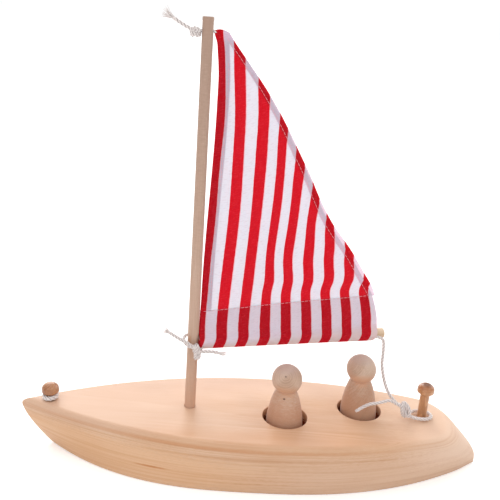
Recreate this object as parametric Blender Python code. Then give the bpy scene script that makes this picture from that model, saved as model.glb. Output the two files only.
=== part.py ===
"""Wooden toy sailing boat with two loose peg passengers.

A shaped timber hull carries a dowel mast, two turned pegs and two round
seats.  The striped sail is sleeved over a dowel boom, lashed to the mast at
the foot and tied through the mast at the head, and held at the stern by a
knotted cord.  +X points to the stern, +Z up, and the flat bottom is at z = 0.
"""

import math

import bmesh
import bpy
import numpy as np
from mathutils import Matrix, Vector

MM = 0.001

# Hull, in millimetres
HULL_THICK = 31.0
HULL_BOW_X = -142.2
HULL_STERN_X = 142.2
HULL_WIDEST_X = 8.2
HULL_HALF_BEAM = 40.2
DECK_FORE_POWER = 2.1
DECK_AFT_POWER = 2.2
DECK_AFT_TIP_X = 161.2
BOTTOM_FORE_TIP_X = -124.2
BOTTOM_FORE_POWER = 2.95
BOTTOM_AFT_TIP_X = 143.2
BOTTOM_AFT_POWER = 2.3
FLARE_POWER = 1.4
DECK_ROUND = 4.0
BOTTOM_ROUND = 1.0
TRANSOM_TOP_X = 121.0
TRANSOM_SOFTNESS = 3.0
TRANSOM_CORNER = 16.0
TRANSOM_CORNER_POWER = 2.5
OUTLINE_POINTS = 46
ROUND_STEPS = 5

# Mast, boom and the turn of the sail about the mast
MAST_X = -40.1
MAST_R = 3.175
MAST_TOP_Z = 257.0
MAST_SOCKET_DEPTH = 20.0
STRING_HOLE_R = 1.3
STRING_HOLE_Z = 250.5
SAIL_TURN_DEG = 12.0
BOOM_R = 3.175
BOOM_Z = 75.3
BOOM_START = 8.0
BOOM_END = 121.6

# Sail cloth: distances aft of the mast's centre, and heights
LUFF_S = 5.6
LUFF_BOW = 0.6
SLEEVE_R = 4.8
SLEEVE_TOP_Z = 98.0
CLOTH_HALF = 0.35
HEM_HALF = 0.55
LEECH_STATIONS = (
    (70.5, 113.2),
    (75.3, 117.4),
    (84.2, 116.8),
    (101.6, 112.6),
    (126.2, 96.5),
    (143.5, 81.4),
    (173.1, 64.0),
    (199.4, 49.0),
    (219.0, 35.8),
    (236.4, 21.9),
    (246.4, 12.9),
    (251.4, 8.4),
)
HEAD_Z = 251.4
BELLY = 3.5
SAIL_COLUMNS = 22
SAIL_ROWS = 26

# Pegs and seats
PEG_R = 2.8
PEG_DEPTH = 14.0
BOW_PEG_X = -124.8
STERN_PEG_X = 103.7
BOW_HEAD_UNDER = 4.6
STERN_HEAD_UNDER = 16.4
SEAT_R = 13.6
SEAT_FORE_DEPTH = 12.5
SEAT_AFT_DEPTH = 10.3
SEAT_FORE = (18.1, -6.3)
SEAT_AFT = (65.8, 6.6)
DOLL_FORE = (18.1, -6.0)
DOLL_AFT = (65.0, 7.6)

# Clearances and cord
GAP = 0.3
CORD_R = 0.9
RIM_SEGMENTS = 40


def clear_scene():
    """Remove every object that is already in the file."""
    for obj in list(bpy.data.objects):
        bpy.data.objects.remove(obj)


def make_material(name, colour, roughness):
    """Return a plain Principled material."""
    material = bpy.data.materials.new(name)
    material.use_nodes = True
    shader = material.node_tree.nodes["Principled BSDF"]
    shader.inputs["Base Color"].default_value = (*colour, 1.0)
    shader.inputs["Roughness"].default_value = roughness
    return material


def add_object(name, mesh, material, smooth=True):
    """Link a mesh to the scene under one name, with one material."""
    obj = bpy.data.objects.new(name, mesh)
    bpy.context.scene.collection.objects.link(obj)
    mesh.materials.append(material)
    for polygon in mesh.polygons:
        polygon.use_smooth = smooth
    return obj


def mesh_from(name, points, faces):
    """Build a mesh from millimetre points and faces, facing outward."""
    mesh = bpy.data.meshes.new(name)
    mesh.from_pydata([tuple(float(c) * MM for c in p) for p in points], [], faces)
    work = bmesh.new()
    work.from_mesh(mesh)
    bmesh.ops.recalc_face_normals(work, faces=work.faces)
    work.to_mesh(mesh)
    work.free()
    return mesh


def turned(name, profile, centre, material, segments=32):
    """Turn a profile of (radius, height) pairs about a vertical axis.

    The mesh is built about the axis, and the object stands at the centre.
    """
    points = []
    rings = []
    for radius, height in profile:
        if radius <= 0.0:
            rings.append([len(points)])
            points.append((0.0, 0.0, height))
            continue
        ring = []
        for k in range(segments):
            angle = 2.0 * math.pi * k / segments
            ring.append(len(points))
            points.append((radius * math.cos(angle), radius * math.sin(angle), height))
        rings.append(ring)
    faces = []
    for low, high in zip(rings, rings[1:]):
        for k in range(segments):
            after = (k + 1) % segments
            if len(low) == 1:
                faces.append((low[0], high[after], high[k]))
            elif len(high) == 1:
                faces.append((low[k], low[after], high[0]))
            else:
                faces.append((low[k], low[after], high[after], high[k]))
    obj = add_object(name, mesh_from(name, points, faces), material)
    obj.location = Vector(centre) * MM
    return obj


def cylinder(name, start, end, radius, material, segments=32, chamfer=0.4):
    """Make a dowel between two points, with its ends slightly eased."""
    axis = Vector(end) - Vector(start)
    length = axis.length
    profile = [
        (0.0, 0.0),
        (radius - chamfer, 0.0),
        (radius, chamfer),
        (radius, length - chamfer),
        (radius - chamfer, length),
        (0.0, length),
    ]
    obj = turned(name, profile, (0.0, 0.0, 0.0), material, segments)
    turn = Vector((0.0, 0.0, 1.0)).rotation_difference(axis.normalized())
    place = Matrix.Translation(Vector(start) * MM) @ turn.to_matrix().to_4x4()
    obj.data.transform(place)
    return obj


def cut(target, name, start, end, radius, material, segments=RIM_SEGMENTS):
    """Bore a round hole through or into a piece with a hidden cutter."""
    cutter = cylinder(name, start, end, radius, material, segments, 0.0001)
    cutter.hide_render = True
    cutter.display_type = "WIRE"
    boolean = target.modifiers.new(name, "BOOLEAN")
    boolean.operation = "DIFFERENCE"
    boolean.solver = "EXACT"
    boolean.object = cutter


def leaf_half(x, level):
    """Half breadth of the hull at a station, before the stern is cut.

    The level is 0 at the deck and 1 at the bottom.  Each end follows
    one minus a power of the distance from the widest station.
    """
    fore_tip = HULL_BOW_X + (BOTTOM_FORE_TIP_X - HULL_BOW_X) * level
    aft_tip = DECK_AFT_TIP_X + (BOTTOM_AFT_TIP_X - DECK_AFT_TIP_X) * level
    fore_power = DECK_FORE_POWER + (BOTTOM_FORE_POWER - DECK_FORE_POWER) * level
    aft_power = DECK_AFT_POWER + (BOTTOM_AFT_POWER - DECK_AFT_POWER) * level
    fore = np.clip((HULL_WIDEST_X - x) / (HULL_WIDEST_X - fore_tip), 0.0, 1.0)
    aft = np.clip((x - HULL_WIDEST_X) / (aft_tip - HULL_WIDEST_X), 0.0, 1.0)
    return HULL_HALF_BEAM * (1.0 - fore**fore_power) * (1.0 - aft**aft_power)


def stern_end(depth):
    """Aft end of the outline: a 45 degree face that turns down near the bottom."""
    sloped = TRANSOM_TOP_X + depth
    k = TRANSOM_SOFTNESS
    low = math.log(math.exp(-sloped / k + 40.0) + math.exp(-HULL_STERN_X / k + 40.0))
    return k * (40.0 - low)


def hull_outline(depth, inset):
    """Half outline from bow to stern at a depth below deck, moved inward."""
    level = max(0.0, (depth - DECK_ROUND) / (HULL_THICK - DECK_ROUND)) ** FLARE_POWER
    tip = HULL_BOW_X + (BOTTOM_FORE_TIP_X - HULL_BOW_X) * level
    end = stern_end(depth)
    shoulder = end - TRANSOM_CORNER
    run = np.linspace(0.0, 1.0, 260) ** 1.3
    x_side = tip + (shoulder - tip) * run
    y_side = leaf_half(x_side, level)
    turn = np.linspace(0.0, 0.5 * math.pi, 90)[1:]
    power = 2.0 / TRANSOM_CORNER_POWER
    x_turn = shoulder + TRANSOM_CORNER * np.sin(turn) ** power
    y_turn = leaf_half(x_turn, level) * np.maximum(np.cos(turn), 0.0) ** power
    line = np.stack([np.r_[x_side, x_turn], np.r_[y_side, y_turn]], axis=1)
    along = np.gradient(line, axis=0)
    along /= np.maximum(np.linalg.norm(along, axis=1, keepdims=True), 1e-9)
    normal = np.stack([-along[:, 1], along[:, 0]], axis=1)
    normal[-1] = (1.0, 0.0)
    line = line - inset * normal
    inside = np.nonzero(line[:, 1] > 1e-6)[0]
    first = inside[0]
    last = inside[-1]
    kept = line[first : last + 1]
    bow_x = kept[0, 0] - kept[0, 1] * (kept[1, 0] - kept[0, 0]) / (kept[1, 1] - kept[0, 1])
    kept = np.vstack([[bow_x, 0.0], kept, [end - inset, 0.0]])
    step = np.linalg.norm(np.diff(kept, axis=0), axis=1)
    arc = np.r_[0.0, np.cumsum(step)]
    pick = np.linspace(0.0, 1.0, OUTLINE_POINTS)
    pick = arc[-1] * (0.75 * pick + 0.25 * (0.5 - 0.5 * np.cos(math.pi * pick)))
    return np.stack([np.interp(pick, arc, kept[:, 0]), np.interp(pick, arc, kept[:, 1])], axis=1)


def make_hull(material, cutter_material):
    """Loft the hull from level outlines, then bore its seats and sockets."""
    levels = []
    for k in range(ROUND_STEPS + 1):
        angle = 0.5 * math.pi * k / ROUND_STEPS
        depth = DECK_ROUND * (1.0 - math.cos(angle))
        levels.append((depth, DECK_ROUND * (1.0 - math.sin(angle))))
    for depth in (7.5, 11.0, 14.5, 18.0, 21.0, 24.0, 27.0, HULL_THICK - BOTTOM_ROUND):
        levels.append((depth, 0.0))
    levels.append((HULL_THICK - 0.3 * BOTTOM_ROUND, 0.3 * BOTTOM_ROUND))
    levels.append((HULL_THICK, BOTTOM_ROUND))
    points = []
    ring_size = 2 * OUTLINE_POINTS - 2
    for depth, inset in levels:
        half = hull_outline(depth, inset)
        mirror = half[-2:0:-1] * (1.0, -1.0)
        for x, y in np.vstack([half, mirror]):
            points.append((x, y, HULL_THICK - depth))
    faces = [tuple(range(ring_size))]
    for k in range(len(levels) - 1):
        for i in range(ring_size):
            j = (i + 1) % ring_size
            top = k * ring_size
            faces.append((top + i, top + j, top + ring_size + j, top + ring_size + i))
    bottom = (len(levels) - 1) * ring_size
    faces.append(tuple(range(bottom + ring_size - 1, bottom - 1, -1)))
    hull = add_object("hull", mesh_from("hull", points, faces), material)
    above = HULL_THICK + 5.0
    holes = (
        ("cut_mast", (MAST_X, 0.0), MAST_R + GAP, MAST_SOCKET_DEPTH),
        ("cut_bow_peg", (BOW_PEG_X, 0.0), PEG_R + GAP, PEG_DEPTH),
        ("cut_stern_peg", (STERN_PEG_X, 0.0), PEG_R + GAP, PEG_DEPTH),
        ("cut_seat_fore", SEAT_FORE, SEAT_R, SEAT_FORE_DEPTH),
        ("cut_seat_aft", SEAT_AFT, SEAT_R, SEAT_AFT_DEPTH),
    )
    for name, (x, y), radius, depth in holes:
        cut(hull, name, (x, y, HULL_THICK - depth), (x, y, above), radius, cutter_material)
    return hull


def make_mast(material, cutter_material):
    """Make the mast dowel with the string hole near its top."""
    foot = HULL_THICK - MAST_SOCKET_DEPTH + GAP
    mast = cylinder("mast", (MAST_X, 0.0, foot), (MAST_X, 0.0, MAST_TOP_Z), MAST_R, material)
    cut(
        mast,
        "cut_string_hole",
        (MAST_X - 8.0, 0.0, STRING_HOLE_Z),
        (MAST_X + 8.0, 0.0, STRING_HOLE_Z),
        STRING_HOLE_R,
        cutter_material,
        16,
    )
    return mast


def on_sail(s, n, z):
    """Turn a place on the sail into boat millimetres.

    s runs aft from the mast's centre, n to starboard and z up.
    """
    angle = math.radians(SAIL_TURN_DEG)
    x = MAST_X + s * math.cos(angle) - n * math.sin(angle)
    y = s * math.sin(angle) + n * math.cos(angle)
    return (x, y, z)


def sail_rows():
    """Heights of the sail's rows and the cloth's half thickness at each."""
    rows = []
    for degrees in (-90, -60, -30, 0, 25, 45):
        angle = math.radians(degrees)
        rows.append((BOOM_Z + SLEEVE_R * math.sin(angle), SLEEVE_R * math.cos(angle)))
    rows += [(81.0, 2.0), (84.2, 1.0), (88.5, 0.65), (SLEEVE_TOP_Z, HEM_HALF)]
    rows.append((SLEEVE_TOP_Z + 1.0, CLOTH_HALF))
    start = SLEEVE_TOP_Z + 1.0
    for k in range(1, SAIL_ROWS + 1):
        rows.append((start + (HEAD_Z - start) * k / SAIL_ROWS, CLOTH_HALF))
    return rows


def make_sail(material, cutter_material):
    """Make the sail as one thin body with the boom's sleeve along its foot."""
    heights = np.array([z for z, _ in LEECH_STATIONS])
    offsets = np.array([s for _, s in LEECH_STATIONS])
    rows = sail_rows()
    size = 2 * len(rows) - 1
    points = []
    for i in range(SAIL_COLUMNS + 1):
        across = i / SAIL_COLUMNS
        front = []
        back = []
        for z, half in rows:
            up = (z - BOOM_Z) / (HEAD_Z - BOOM_Z)
            swell = math.sin(math.pi * min(max(up, 0.0), 1.0))
            luff = LUFF_S + LUFF_BOW * swell
            leech = float(np.interp(z, heights, offsets))
            s = luff + (leech - luff) * across
            belly = BELLY * swell * math.sin(math.pi * across) ** 0.8 if across < 1.0 else 0.0
            front.append(on_sail(s, belly - half, z))
            back.append(on_sail(s, belly + half, z))
        points += front + back[:0:-1]
    faces = []
    for i in range(SAIL_COLUMNS):
        for j in range(size):
            k = (j + 1) % size
            here = i * size
            after = here + size
            faces.append((here + j, here + k, after + k, after + j))
    for base in (0, SAIL_COLUMNS * size):
        faces.append((base, base + 1, base + size - 1))
        for j in range(1, len(rows) - 1):
            faces.append((base + j, base + j + 1, base + size - j - 1, base + size - j))
    sail = add_object("sail", mesh_from("sail", points, faces), material)
    cut(
        sail,
        "cut_sleeve",
        on_sail(0.0, 0.0, BOOM_Z),
        on_sail(130.0, 0.0, BOOM_Z),
        BOOM_R + GAP,
        cutter_material,
        32,
    )
    return sail


def make_peg(name, x, head_under, material):
    """Turn a peg with a mushroom head, standing in its socket."""
    deck = HULL_THICK
    under = deck + head_under
    profile = [
        (0.0, deck - PEG_DEPTH + GAP),
        (PEG_R - 0.4, deck - PEG_DEPTH + GAP),
        (PEG_R, deck - PEG_DEPTH + GAP + 0.4),
        (PEG_R, under - 1.0),
        (PEG_R + 0.4, under - 0.4),
        (PEG_R + 0.6, under),
        (4.5, under + 0.3),
        (5.1, under + 1.1),
        (5.1, under + 2.6),
        (4.7, under + 3.9),
        (3.8, under + 5.0),
        (2.4, under + 5.7),
        (1.0, under + 6.0),
        (0.0, under + 6.05),
    ]
    return turned(name, profile, (x, 0.0, 0.0), material, 28)


def make_doll(name, place, seat_depth, material):
    """Turn a passenger: a ball head on a body that flares to its foot."""
    foot = HULL_THICK - seat_depth + GAP
    head_z = 37.4
    head_r = 8.9
    profile = [
        (0.0, 0.0),
        (10.6, 0.0),
        (11.2, 0.6),
        (11.25, 4.0),
        (11.2, 8.0),
        (10.9, 12.0),
        (10.3, 16.0),
        (9.3, 21.0),
        (8.2, 25.0),
        (7.0, 28.2),
        (6.0, 30.1),
        (5.7, 30.55),
    ]
    start = math.asin((30.9 - head_z) / head_r)
    for k in range(13):
        angle = start + (0.5 * math.pi - start) * k / 12
        profile.append((max(head_r * math.cos(angle), 0.0), head_z + head_r * math.sin(angle)))
    profile[-1] = (0.0, head_z + head_r)
    return turned(name, profile, (place[0], place[1], foot), material, 36)


def smooth_route(points, count):
    """Pass a smooth curve through the points and space it evenly."""
    spots = [Vector(p) for p in points]
    ends = [2 * spots[0] - spots[1]] + spots + [2 * spots[-1] - spots[-2]]
    fine = []
    for a, b, c, d in zip(ends, ends[1:], ends[2:], ends[3:]):
        for k in range(16):
            t = k / 16
            fine.append(
                0.5
                * (
                    2 * b
                    + (c - a) * t
                    + (2 * a - 5 * b + 4 * c - d) * t**2
                    + (3 * b - a - 3 * c + d) * t**3
                )
            )
    fine.append(spots[-1])
    line = np.array([tuple(p) for p in fine])
    arc = np.r_[0.0, np.cumsum(np.linalg.norm(np.diff(line, axis=0), axis=1))]
    pick = np.linspace(0.0, arc[-1], count)
    return np.stack([np.interp(pick, arc, line[:, k]) for k in range(3)], axis=1)


def make_cord(name, points, count, material, radius=CORD_R):
    """Make a cord as a round tube along a smooth route with closed ends."""
    route = smooth_route(points, count)
    curve = bpy.data.curves.new(name, "CURVE")
    curve.dimensions = "3D"
    curve.bevel_depth = radius * MM
    curve.bevel_resolution = 2
    curve.use_fill_caps = True
    spline = curve.splines.new("POLY")
    spline.points.add(len(route) - 1)
    for point, place in zip(spline.points, route):
        point.co = (place[0] * MM, place[1] * MM, place[2] * MM, 1.0)
    obj = bpy.data.objects.new(name, curve)
    bpy.context.scene.collection.objects.link(obj)
    curve.materials.append(material)
    return obj


def make_knot(name, centre, half_sizes, lie, material):
    """Make a knot's lump: an ellipsoid whose long axis follows a direction."""
    profile = []
    for k in range(11):
        angle = -0.5 * math.pi + math.pi * k / 10
        profile.append((max(math.cos(angle), 0.0), math.sin(angle)))
    profile[0] = (0.0, -1.0)
    profile[-1] = (0.0, 1.0)
    obj = turned(name, profile, (0.0, 0.0, 0.0), material, 20)
    scale = Matrix.Diagonal((*half_sizes, 1.0))
    turn = Vector((0.0, 0.0, 1.0)).rotation_difference(Vector(lie).normalized())
    place = Matrix.Translation(Vector(centre) * MM) @ turn.to_matrix().to_4x4() @ scale
    obj.data.transform(place)
    return obj


def make_bow_ring(material):
    """Make the outer shape of the cord wound twice round the bow peg."""
    inner = PEG_R + GAP
    outer = inner + 2.0 * CORD_R
    low = HULL_THICK + GAP
    high = low + 4.0 * CORD_R + 0.2
    profile = [(inner, low + 0.5), (inner, high - 0.5), (inner + 0.5, high), (outer - 0.5, high)]
    profile += [(outer, high - 0.6), (outer, low + 0.6), (outer - 0.5, low), (inner + 0.5, low)]
    points = []
    segments = 28
    for radius, height in profile:
        for k in range(segments):
            angle = 2.0 * math.pi * k / segments
            points.append((BOW_PEG_X + radius * math.cos(angle), radius * math.sin(angle), height))
    faces = []
    for i in range(len(profile)):
        j = (i + 1) % len(profile)
        for k in range(segments):
            after = (k + 1) % segments
            faces.append((i * segments + k, i * segments + after, j * segments + after, j * segments + k))
    return add_object("bow_peg_ring", mesh_from("bow_peg_ring", points, faces), material)


def make_head_cord(material):
    """Tie the sail's head: a knot before the mast, a strop and a loose end."""
    make_knot("head_knot", (-47.0, -0.6, 250.4), (2.6, 2.5, 3.3), (1.0, 0.0, 0.15), material)
    make_cord("head_strop", ((-43.4, 0.0, 250.5), (-39.0, 0.1, 250.5), (-35.3, 0.5, 250.5)), 6, material)
    tail = ((-50.3, -1.5, 252.0), (-52.7, -2.0, 253.2), (-56.2, -3.0, 255.6), (-59.4, -4.0, 258.0))
    make_cord("head_tail", tail, 9, material)


def make_tack_lashing(material):
    """Lash the boom's fore end to the mast: loop, knot and two loose ends."""
    make_knot("tack_knot", (-38.1, -6.4, 71.4), (2.3, 2.2, 4.3), (-0.12, 0.0, 1.0), material)
    loop = (
        (-42.0, -4.6, 73.6),
        (-44.8, -3.4, 75.8),
        (-46.2, 0.0, 77.2),
        (-45.4, 3.4, 77.9),
        (-42.6, 5.6, 77.8),
        (-39.2, 5.6, 76.6),
        (-36.8, 4.9, 75.4),
    )
    make_cord("tack_loop", loop, 24, material)
    fore = ((-41.3, -6.9, 75.6), (-44.1, -7.2, 77.6), (-47.3, -7.4, 79.3), (-55.6, -8.2, 84.9))
    make_cord("tack_tail_fore", fore, 12, material)
    aft = ((-35.1, -6.2, 71.3), (-31.6, -6.2, 71.6), (-27.6, -6.2, 71.6), (-23.1, -6.6, 71.0), (-19.0, -7.0, 71.2))
    make_cord("tack_tail_aft", aft, 11, material)


def make_sheet(material):
    """Make the cord from the boom's aft end to the loop round the stern peg."""
    line = (
        (79.0, 20.2, 70.6),
        (79.2, 19.4, 67.3),
        (79.0, 17.6, 62.6),
        (79.1, 15.6, 58.8),
        (79.9, 13.2, 55.0),
        (81.1, 10.6, 50.9),
        (82.6, 7.6, 46.9),
        (84.2, 4.4, 43.6),
        (86.0, 1.4, 41.2),
    )
    make_cord("sheet_line", line, 26, material)
    make_knot("sheet_knot", (90.8, -4.0, 37.0), (3.1, 3.1, 5.0), (0.82, -0.22, -0.52), material)
    loop = (
        (96.4, -5.0, 32.9),
        (99.5, -6.2, 32.4),
        (104.0, -7.0, 32.3),
        (108.6, -5.2, 32.3),
        (110.4, -0.8, 32.3),
        (108.4, 3.9, 32.3),
        (103.8, 5.8, 32.3),
        (99.4, 4.2, 32.6),
        (97.2, 0.6, 33.4),
        (96.6, -1.4, 34.0),
    )
    make_cord("sheet_peg_loop", loop, 34, material)
    tail = (
        (85.3, -4.6, 41.2),
        (81.2, -5.4, 43.3),
        (77.6, -5.9, 43.1),
        (73.6, -6.6, 42.8),
        (68.6, -7.5, 42.8),
        (64.2, -8.2, 40.9),
        (60.9, -8.8, 38.7),
    )
    make_cord("sheet_tail", tail, 18, material)


def main():
    """Build every piece of the boat."""
    clear_scene()
    hull_wood = make_material("hull_wood", (0.78, 0.58, 0.42), 0.5)
    dowel_wood = make_material("dowel_wood", (0.74, 0.58, 0.44), 0.55)
    boom_wood = make_material("boom_wood", (0.72, 0.58, 0.45), 0.55)
    cloth = make_material("sail_cloth", (0.75, 0.30, 0.32), 0.9)
    bow_wood = make_material("bow_peg_wood", (0.45, 0.23, 0.11), 0.4)
    stern_wood = make_material("stern_peg_wood", (0.50, 0.28, 0.15), 0.4)
    fore_wood = make_material("passenger_fore_wood", (0.58, 0.46, 0.38), 0.65)
    aft_wood = make_material("passenger_aft_wood", (0.58, 0.46, 0.38), 0.65)
    cord = make_material("cotton_cord", (0.78, 0.74, 0.70), 0.95)
    cutter = make_material("cutter", (0.5, 0.5, 0.5), 0.5)

    make_hull(hull_wood, cutter)
    make_mast(dowel_wood, cutter)
    cylinder("boom", on_sail(BOOM_START, 0.0, BOOM_Z), on_sail(BOOM_END, 0.0, BOOM_Z), BOOM_R, boom_wood, 28, 0.5)
    make_sail(cloth, cutter)
    make_peg("bow_peg", BOW_PEG_X, BOW_HEAD_UNDER, bow_wood)
    make_peg("stern_peg", STERN_PEG_X, STERN_HEAD_UNDER, stern_wood)
    make_doll("passenger_fore", DOLL_FORE, SEAT_FORE_DEPTH, fore_wood)
    make_doll("passenger_aft", DOLL_AFT, SEAT_AFT_DEPTH, aft_wood)
    make_bow_ring(cord)
    make_head_cord(cord)
    make_tack_lashing(cord)
    make_sheet(cord)


main()
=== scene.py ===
"""Looks of the wooden toy sailing boat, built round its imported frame.

Lengths are in millimetres until a mesh is made, and the frame is the boat's
own: +X to the stern, +Y to starboard, +Z up, with the flat bottom at z = 0.
"""

import logging
import math
from collections.abc import Sequence
from dataclasses import dataclass, field
from enum import Enum

import bpy
import numpy as np
from mathutils import Matrix, Vector


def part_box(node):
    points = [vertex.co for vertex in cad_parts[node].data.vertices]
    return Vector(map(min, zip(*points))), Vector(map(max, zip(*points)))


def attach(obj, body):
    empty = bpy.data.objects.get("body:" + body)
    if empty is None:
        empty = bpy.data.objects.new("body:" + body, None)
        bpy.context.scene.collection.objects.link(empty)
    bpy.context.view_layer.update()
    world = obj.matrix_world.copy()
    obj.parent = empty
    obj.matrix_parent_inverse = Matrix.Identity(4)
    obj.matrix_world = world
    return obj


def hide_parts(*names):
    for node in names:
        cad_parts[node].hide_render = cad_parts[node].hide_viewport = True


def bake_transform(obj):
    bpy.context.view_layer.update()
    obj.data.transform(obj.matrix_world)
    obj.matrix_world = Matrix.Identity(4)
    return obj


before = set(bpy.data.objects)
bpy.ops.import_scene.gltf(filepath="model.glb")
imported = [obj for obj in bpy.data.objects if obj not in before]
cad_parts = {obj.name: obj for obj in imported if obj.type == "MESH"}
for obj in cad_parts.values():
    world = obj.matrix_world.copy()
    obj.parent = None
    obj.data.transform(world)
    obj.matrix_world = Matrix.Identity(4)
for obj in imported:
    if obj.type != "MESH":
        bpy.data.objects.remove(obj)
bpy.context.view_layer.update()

log = logging.getLogger("toy_boat")

MM = 0.001
SAIL_TURN = math.radians(12.0)
FULL_TURN = 2.0 * math.pi
QUARTER_TURN = 0.5 * math.pi
GOLDEN_ANGLE = 2.39996
MAP_SCALE = 100.0
WELL_INSIDE = 5.0
AS_IT_IS = (1.0, 1.0, 1.0)
HOLE_SHARPNESS = math.radians(35.0)
Array = np.ndarray
Point = tuple[float, float, float]
Tone = tuple[float, float, float]
Socket = bpy.types.NodeSocket
Layout = tuple[Array, Array, Array]
Finish = bpy.types.Material
Piece = bpy.types.Object


class Body(str, Enum):
    """The rigid bodies that pieces ride on."""

    HULL = "hull"
    SAIL = "sail"
    FORE = "passenger_fore"
    AFT = "passenger_aft"


class Grain(Enum):
    """The way a piece's grain runs, as the turn that brings it along +X."""

    LENGTHWISE = (0.0, 0.0, 0.0)
    UPRIGHT = (0.0, 90.0, 0.0)
    ALONG_BOOM = (0.0, 0.0, -12.0)


# ---------------------------------------------------------------- arithmetic


def linear(tone: Tone) -> tuple[float, float, float, float]:
    """Turn an everyday 0 to 255 colour into the linear one that shaders take.

    Args:
        tone: red, green and blue from 0 to 255.

    Returns:
        Linear red, green and blue with an alpha of one.
    """
    share = np.asarray(tone, float) / 255.0
    flat = np.where(share <= 0.04045, share / 12.92, ((share + 0.055) / 1.055) ** 2.4)
    return (float(flat[0]), float(flat[1]), float(flat[2]), 1.0)


def ease(value: Array | float, low: float, high: float) -> Array:
    """Rise smoothly from 0 at low to 1 at high, as 3t^2 - 2t^3.

    Args:
        value: where to read the curve.
        low: the value where the rise starts.
        high: the value where it ends.

    Returns:
        The share risen at each value.
    """
    t = np.clip((np.asarray(value, float) - low) / (high - low), 0.0, 1.0)
    return t * t * (3.0 - 2.0 * t)


def unit(vectors: Array) -> Array:
    """Scale each vector to a length of one."""
    return vectors / np.maximum(np.linalg.norm(vectors, axis=-1, keepdims=True), 1e-9)


def square_to(sides: Array, along: Array) -> Array:
    """Turn each side vector square to its heading, with a length of one."""
    return unit(sides - (sides * along).sum(axis=1, keepdims=True) * along)


def arc_length(line: Array) -> Array:
    """Give the distance gone along a line at each of its points."""
    return np.r_[0.0, np.cumsum(np.linalg.norm(np.diff(line, axis=0), axis=1))]


def round_steps(steps: int) -> Array:
    """Give the angles of even steps round a circle."""
    return np.linspace(0.0, FULL_TURN, steps, endpoint=False)


def middle_of(node: str) -> tuple[float, float]:
    """Give where the middle of a piece of the frame stands in plan."""
    low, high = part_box(node)
    return 0.5 * (low.x + high.x) / MM, 0.5 * (low.y + high.y) / MM


def respaced(line: Array, step: float) -> Array:
    """Give a line evenly spaced points.

    Args:
        line: points along the line.
        step: the wanted distance between points.

    Returns:
        Points that divide the line's length evenly.
    """
    arc = arc_length(line)
    at = np.linspace(0.0, arc[-1], max(4, math.ceil(arc[-1] / step) + 1))
    return np.stack([np.interp(at, arc, line[:, k]) for k in range(3)], axis=1)


def smooth_route(points: Sequence[Point], step: float) -> Array:
    """Pass a smooth curve through chosen points and space it evenly.

    Between two points the curve is the cubic whose slope at each point is half
    the step between that point's two neighbours.

    Args:
        points: the route's own points.
        step: the distance between the returned points.

    Returns:
        An array of points along the route.
    """
    spots = np.asarray(points, float)
    ends = np.vstack([2 * spots[0] - spots[1], spots, 2 * spots[-1] - spots[-2]])
    a, b, c, d = (ends[k : len(ends) - 3 + k, None, :] for k in range(4))
    t = np.linspace(0.0, 1.0, 24, endpoint=False)[None, :, None]
    cubic = 2 * b + (c - a) * t + (2 * a - 5 * b + 4 * c - d) * t**2 + (3 * b - a - 3 * c + d) * t**3
    fine = np.vstack([(0.5 * cubic).reshape(-1, 3), spots[-1:]])
    return respaced(fine, step)


def on_sail(s: Array | float, n: Array | float, z: Array | float) -> Array:
    """Turn a place on the sail into boat millimetres.

    Args:
        s: distance aft of the mast's axis.
        n: distance to starboard of the sail's plane.
        z: height.

    Returns:
        Boat coordinates, with the three parts on the last axis.
    """
    s, n, z = np.broadcast_arrays(np.asarray(s, float), np.asarray(n, float), np.asarray(z, float))
    x = middle_of("mast")[0] + s * math.cos(SAIL_TURN) - n * math.sin(SAIL_TURN)
    y = s * math.sin(SAIL_TURN) + n * math.cos(SAIL_TURN)
    return np.stack([x, y, z], axis=-1)


# ------------------------------------------------------------------- meshes


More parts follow.
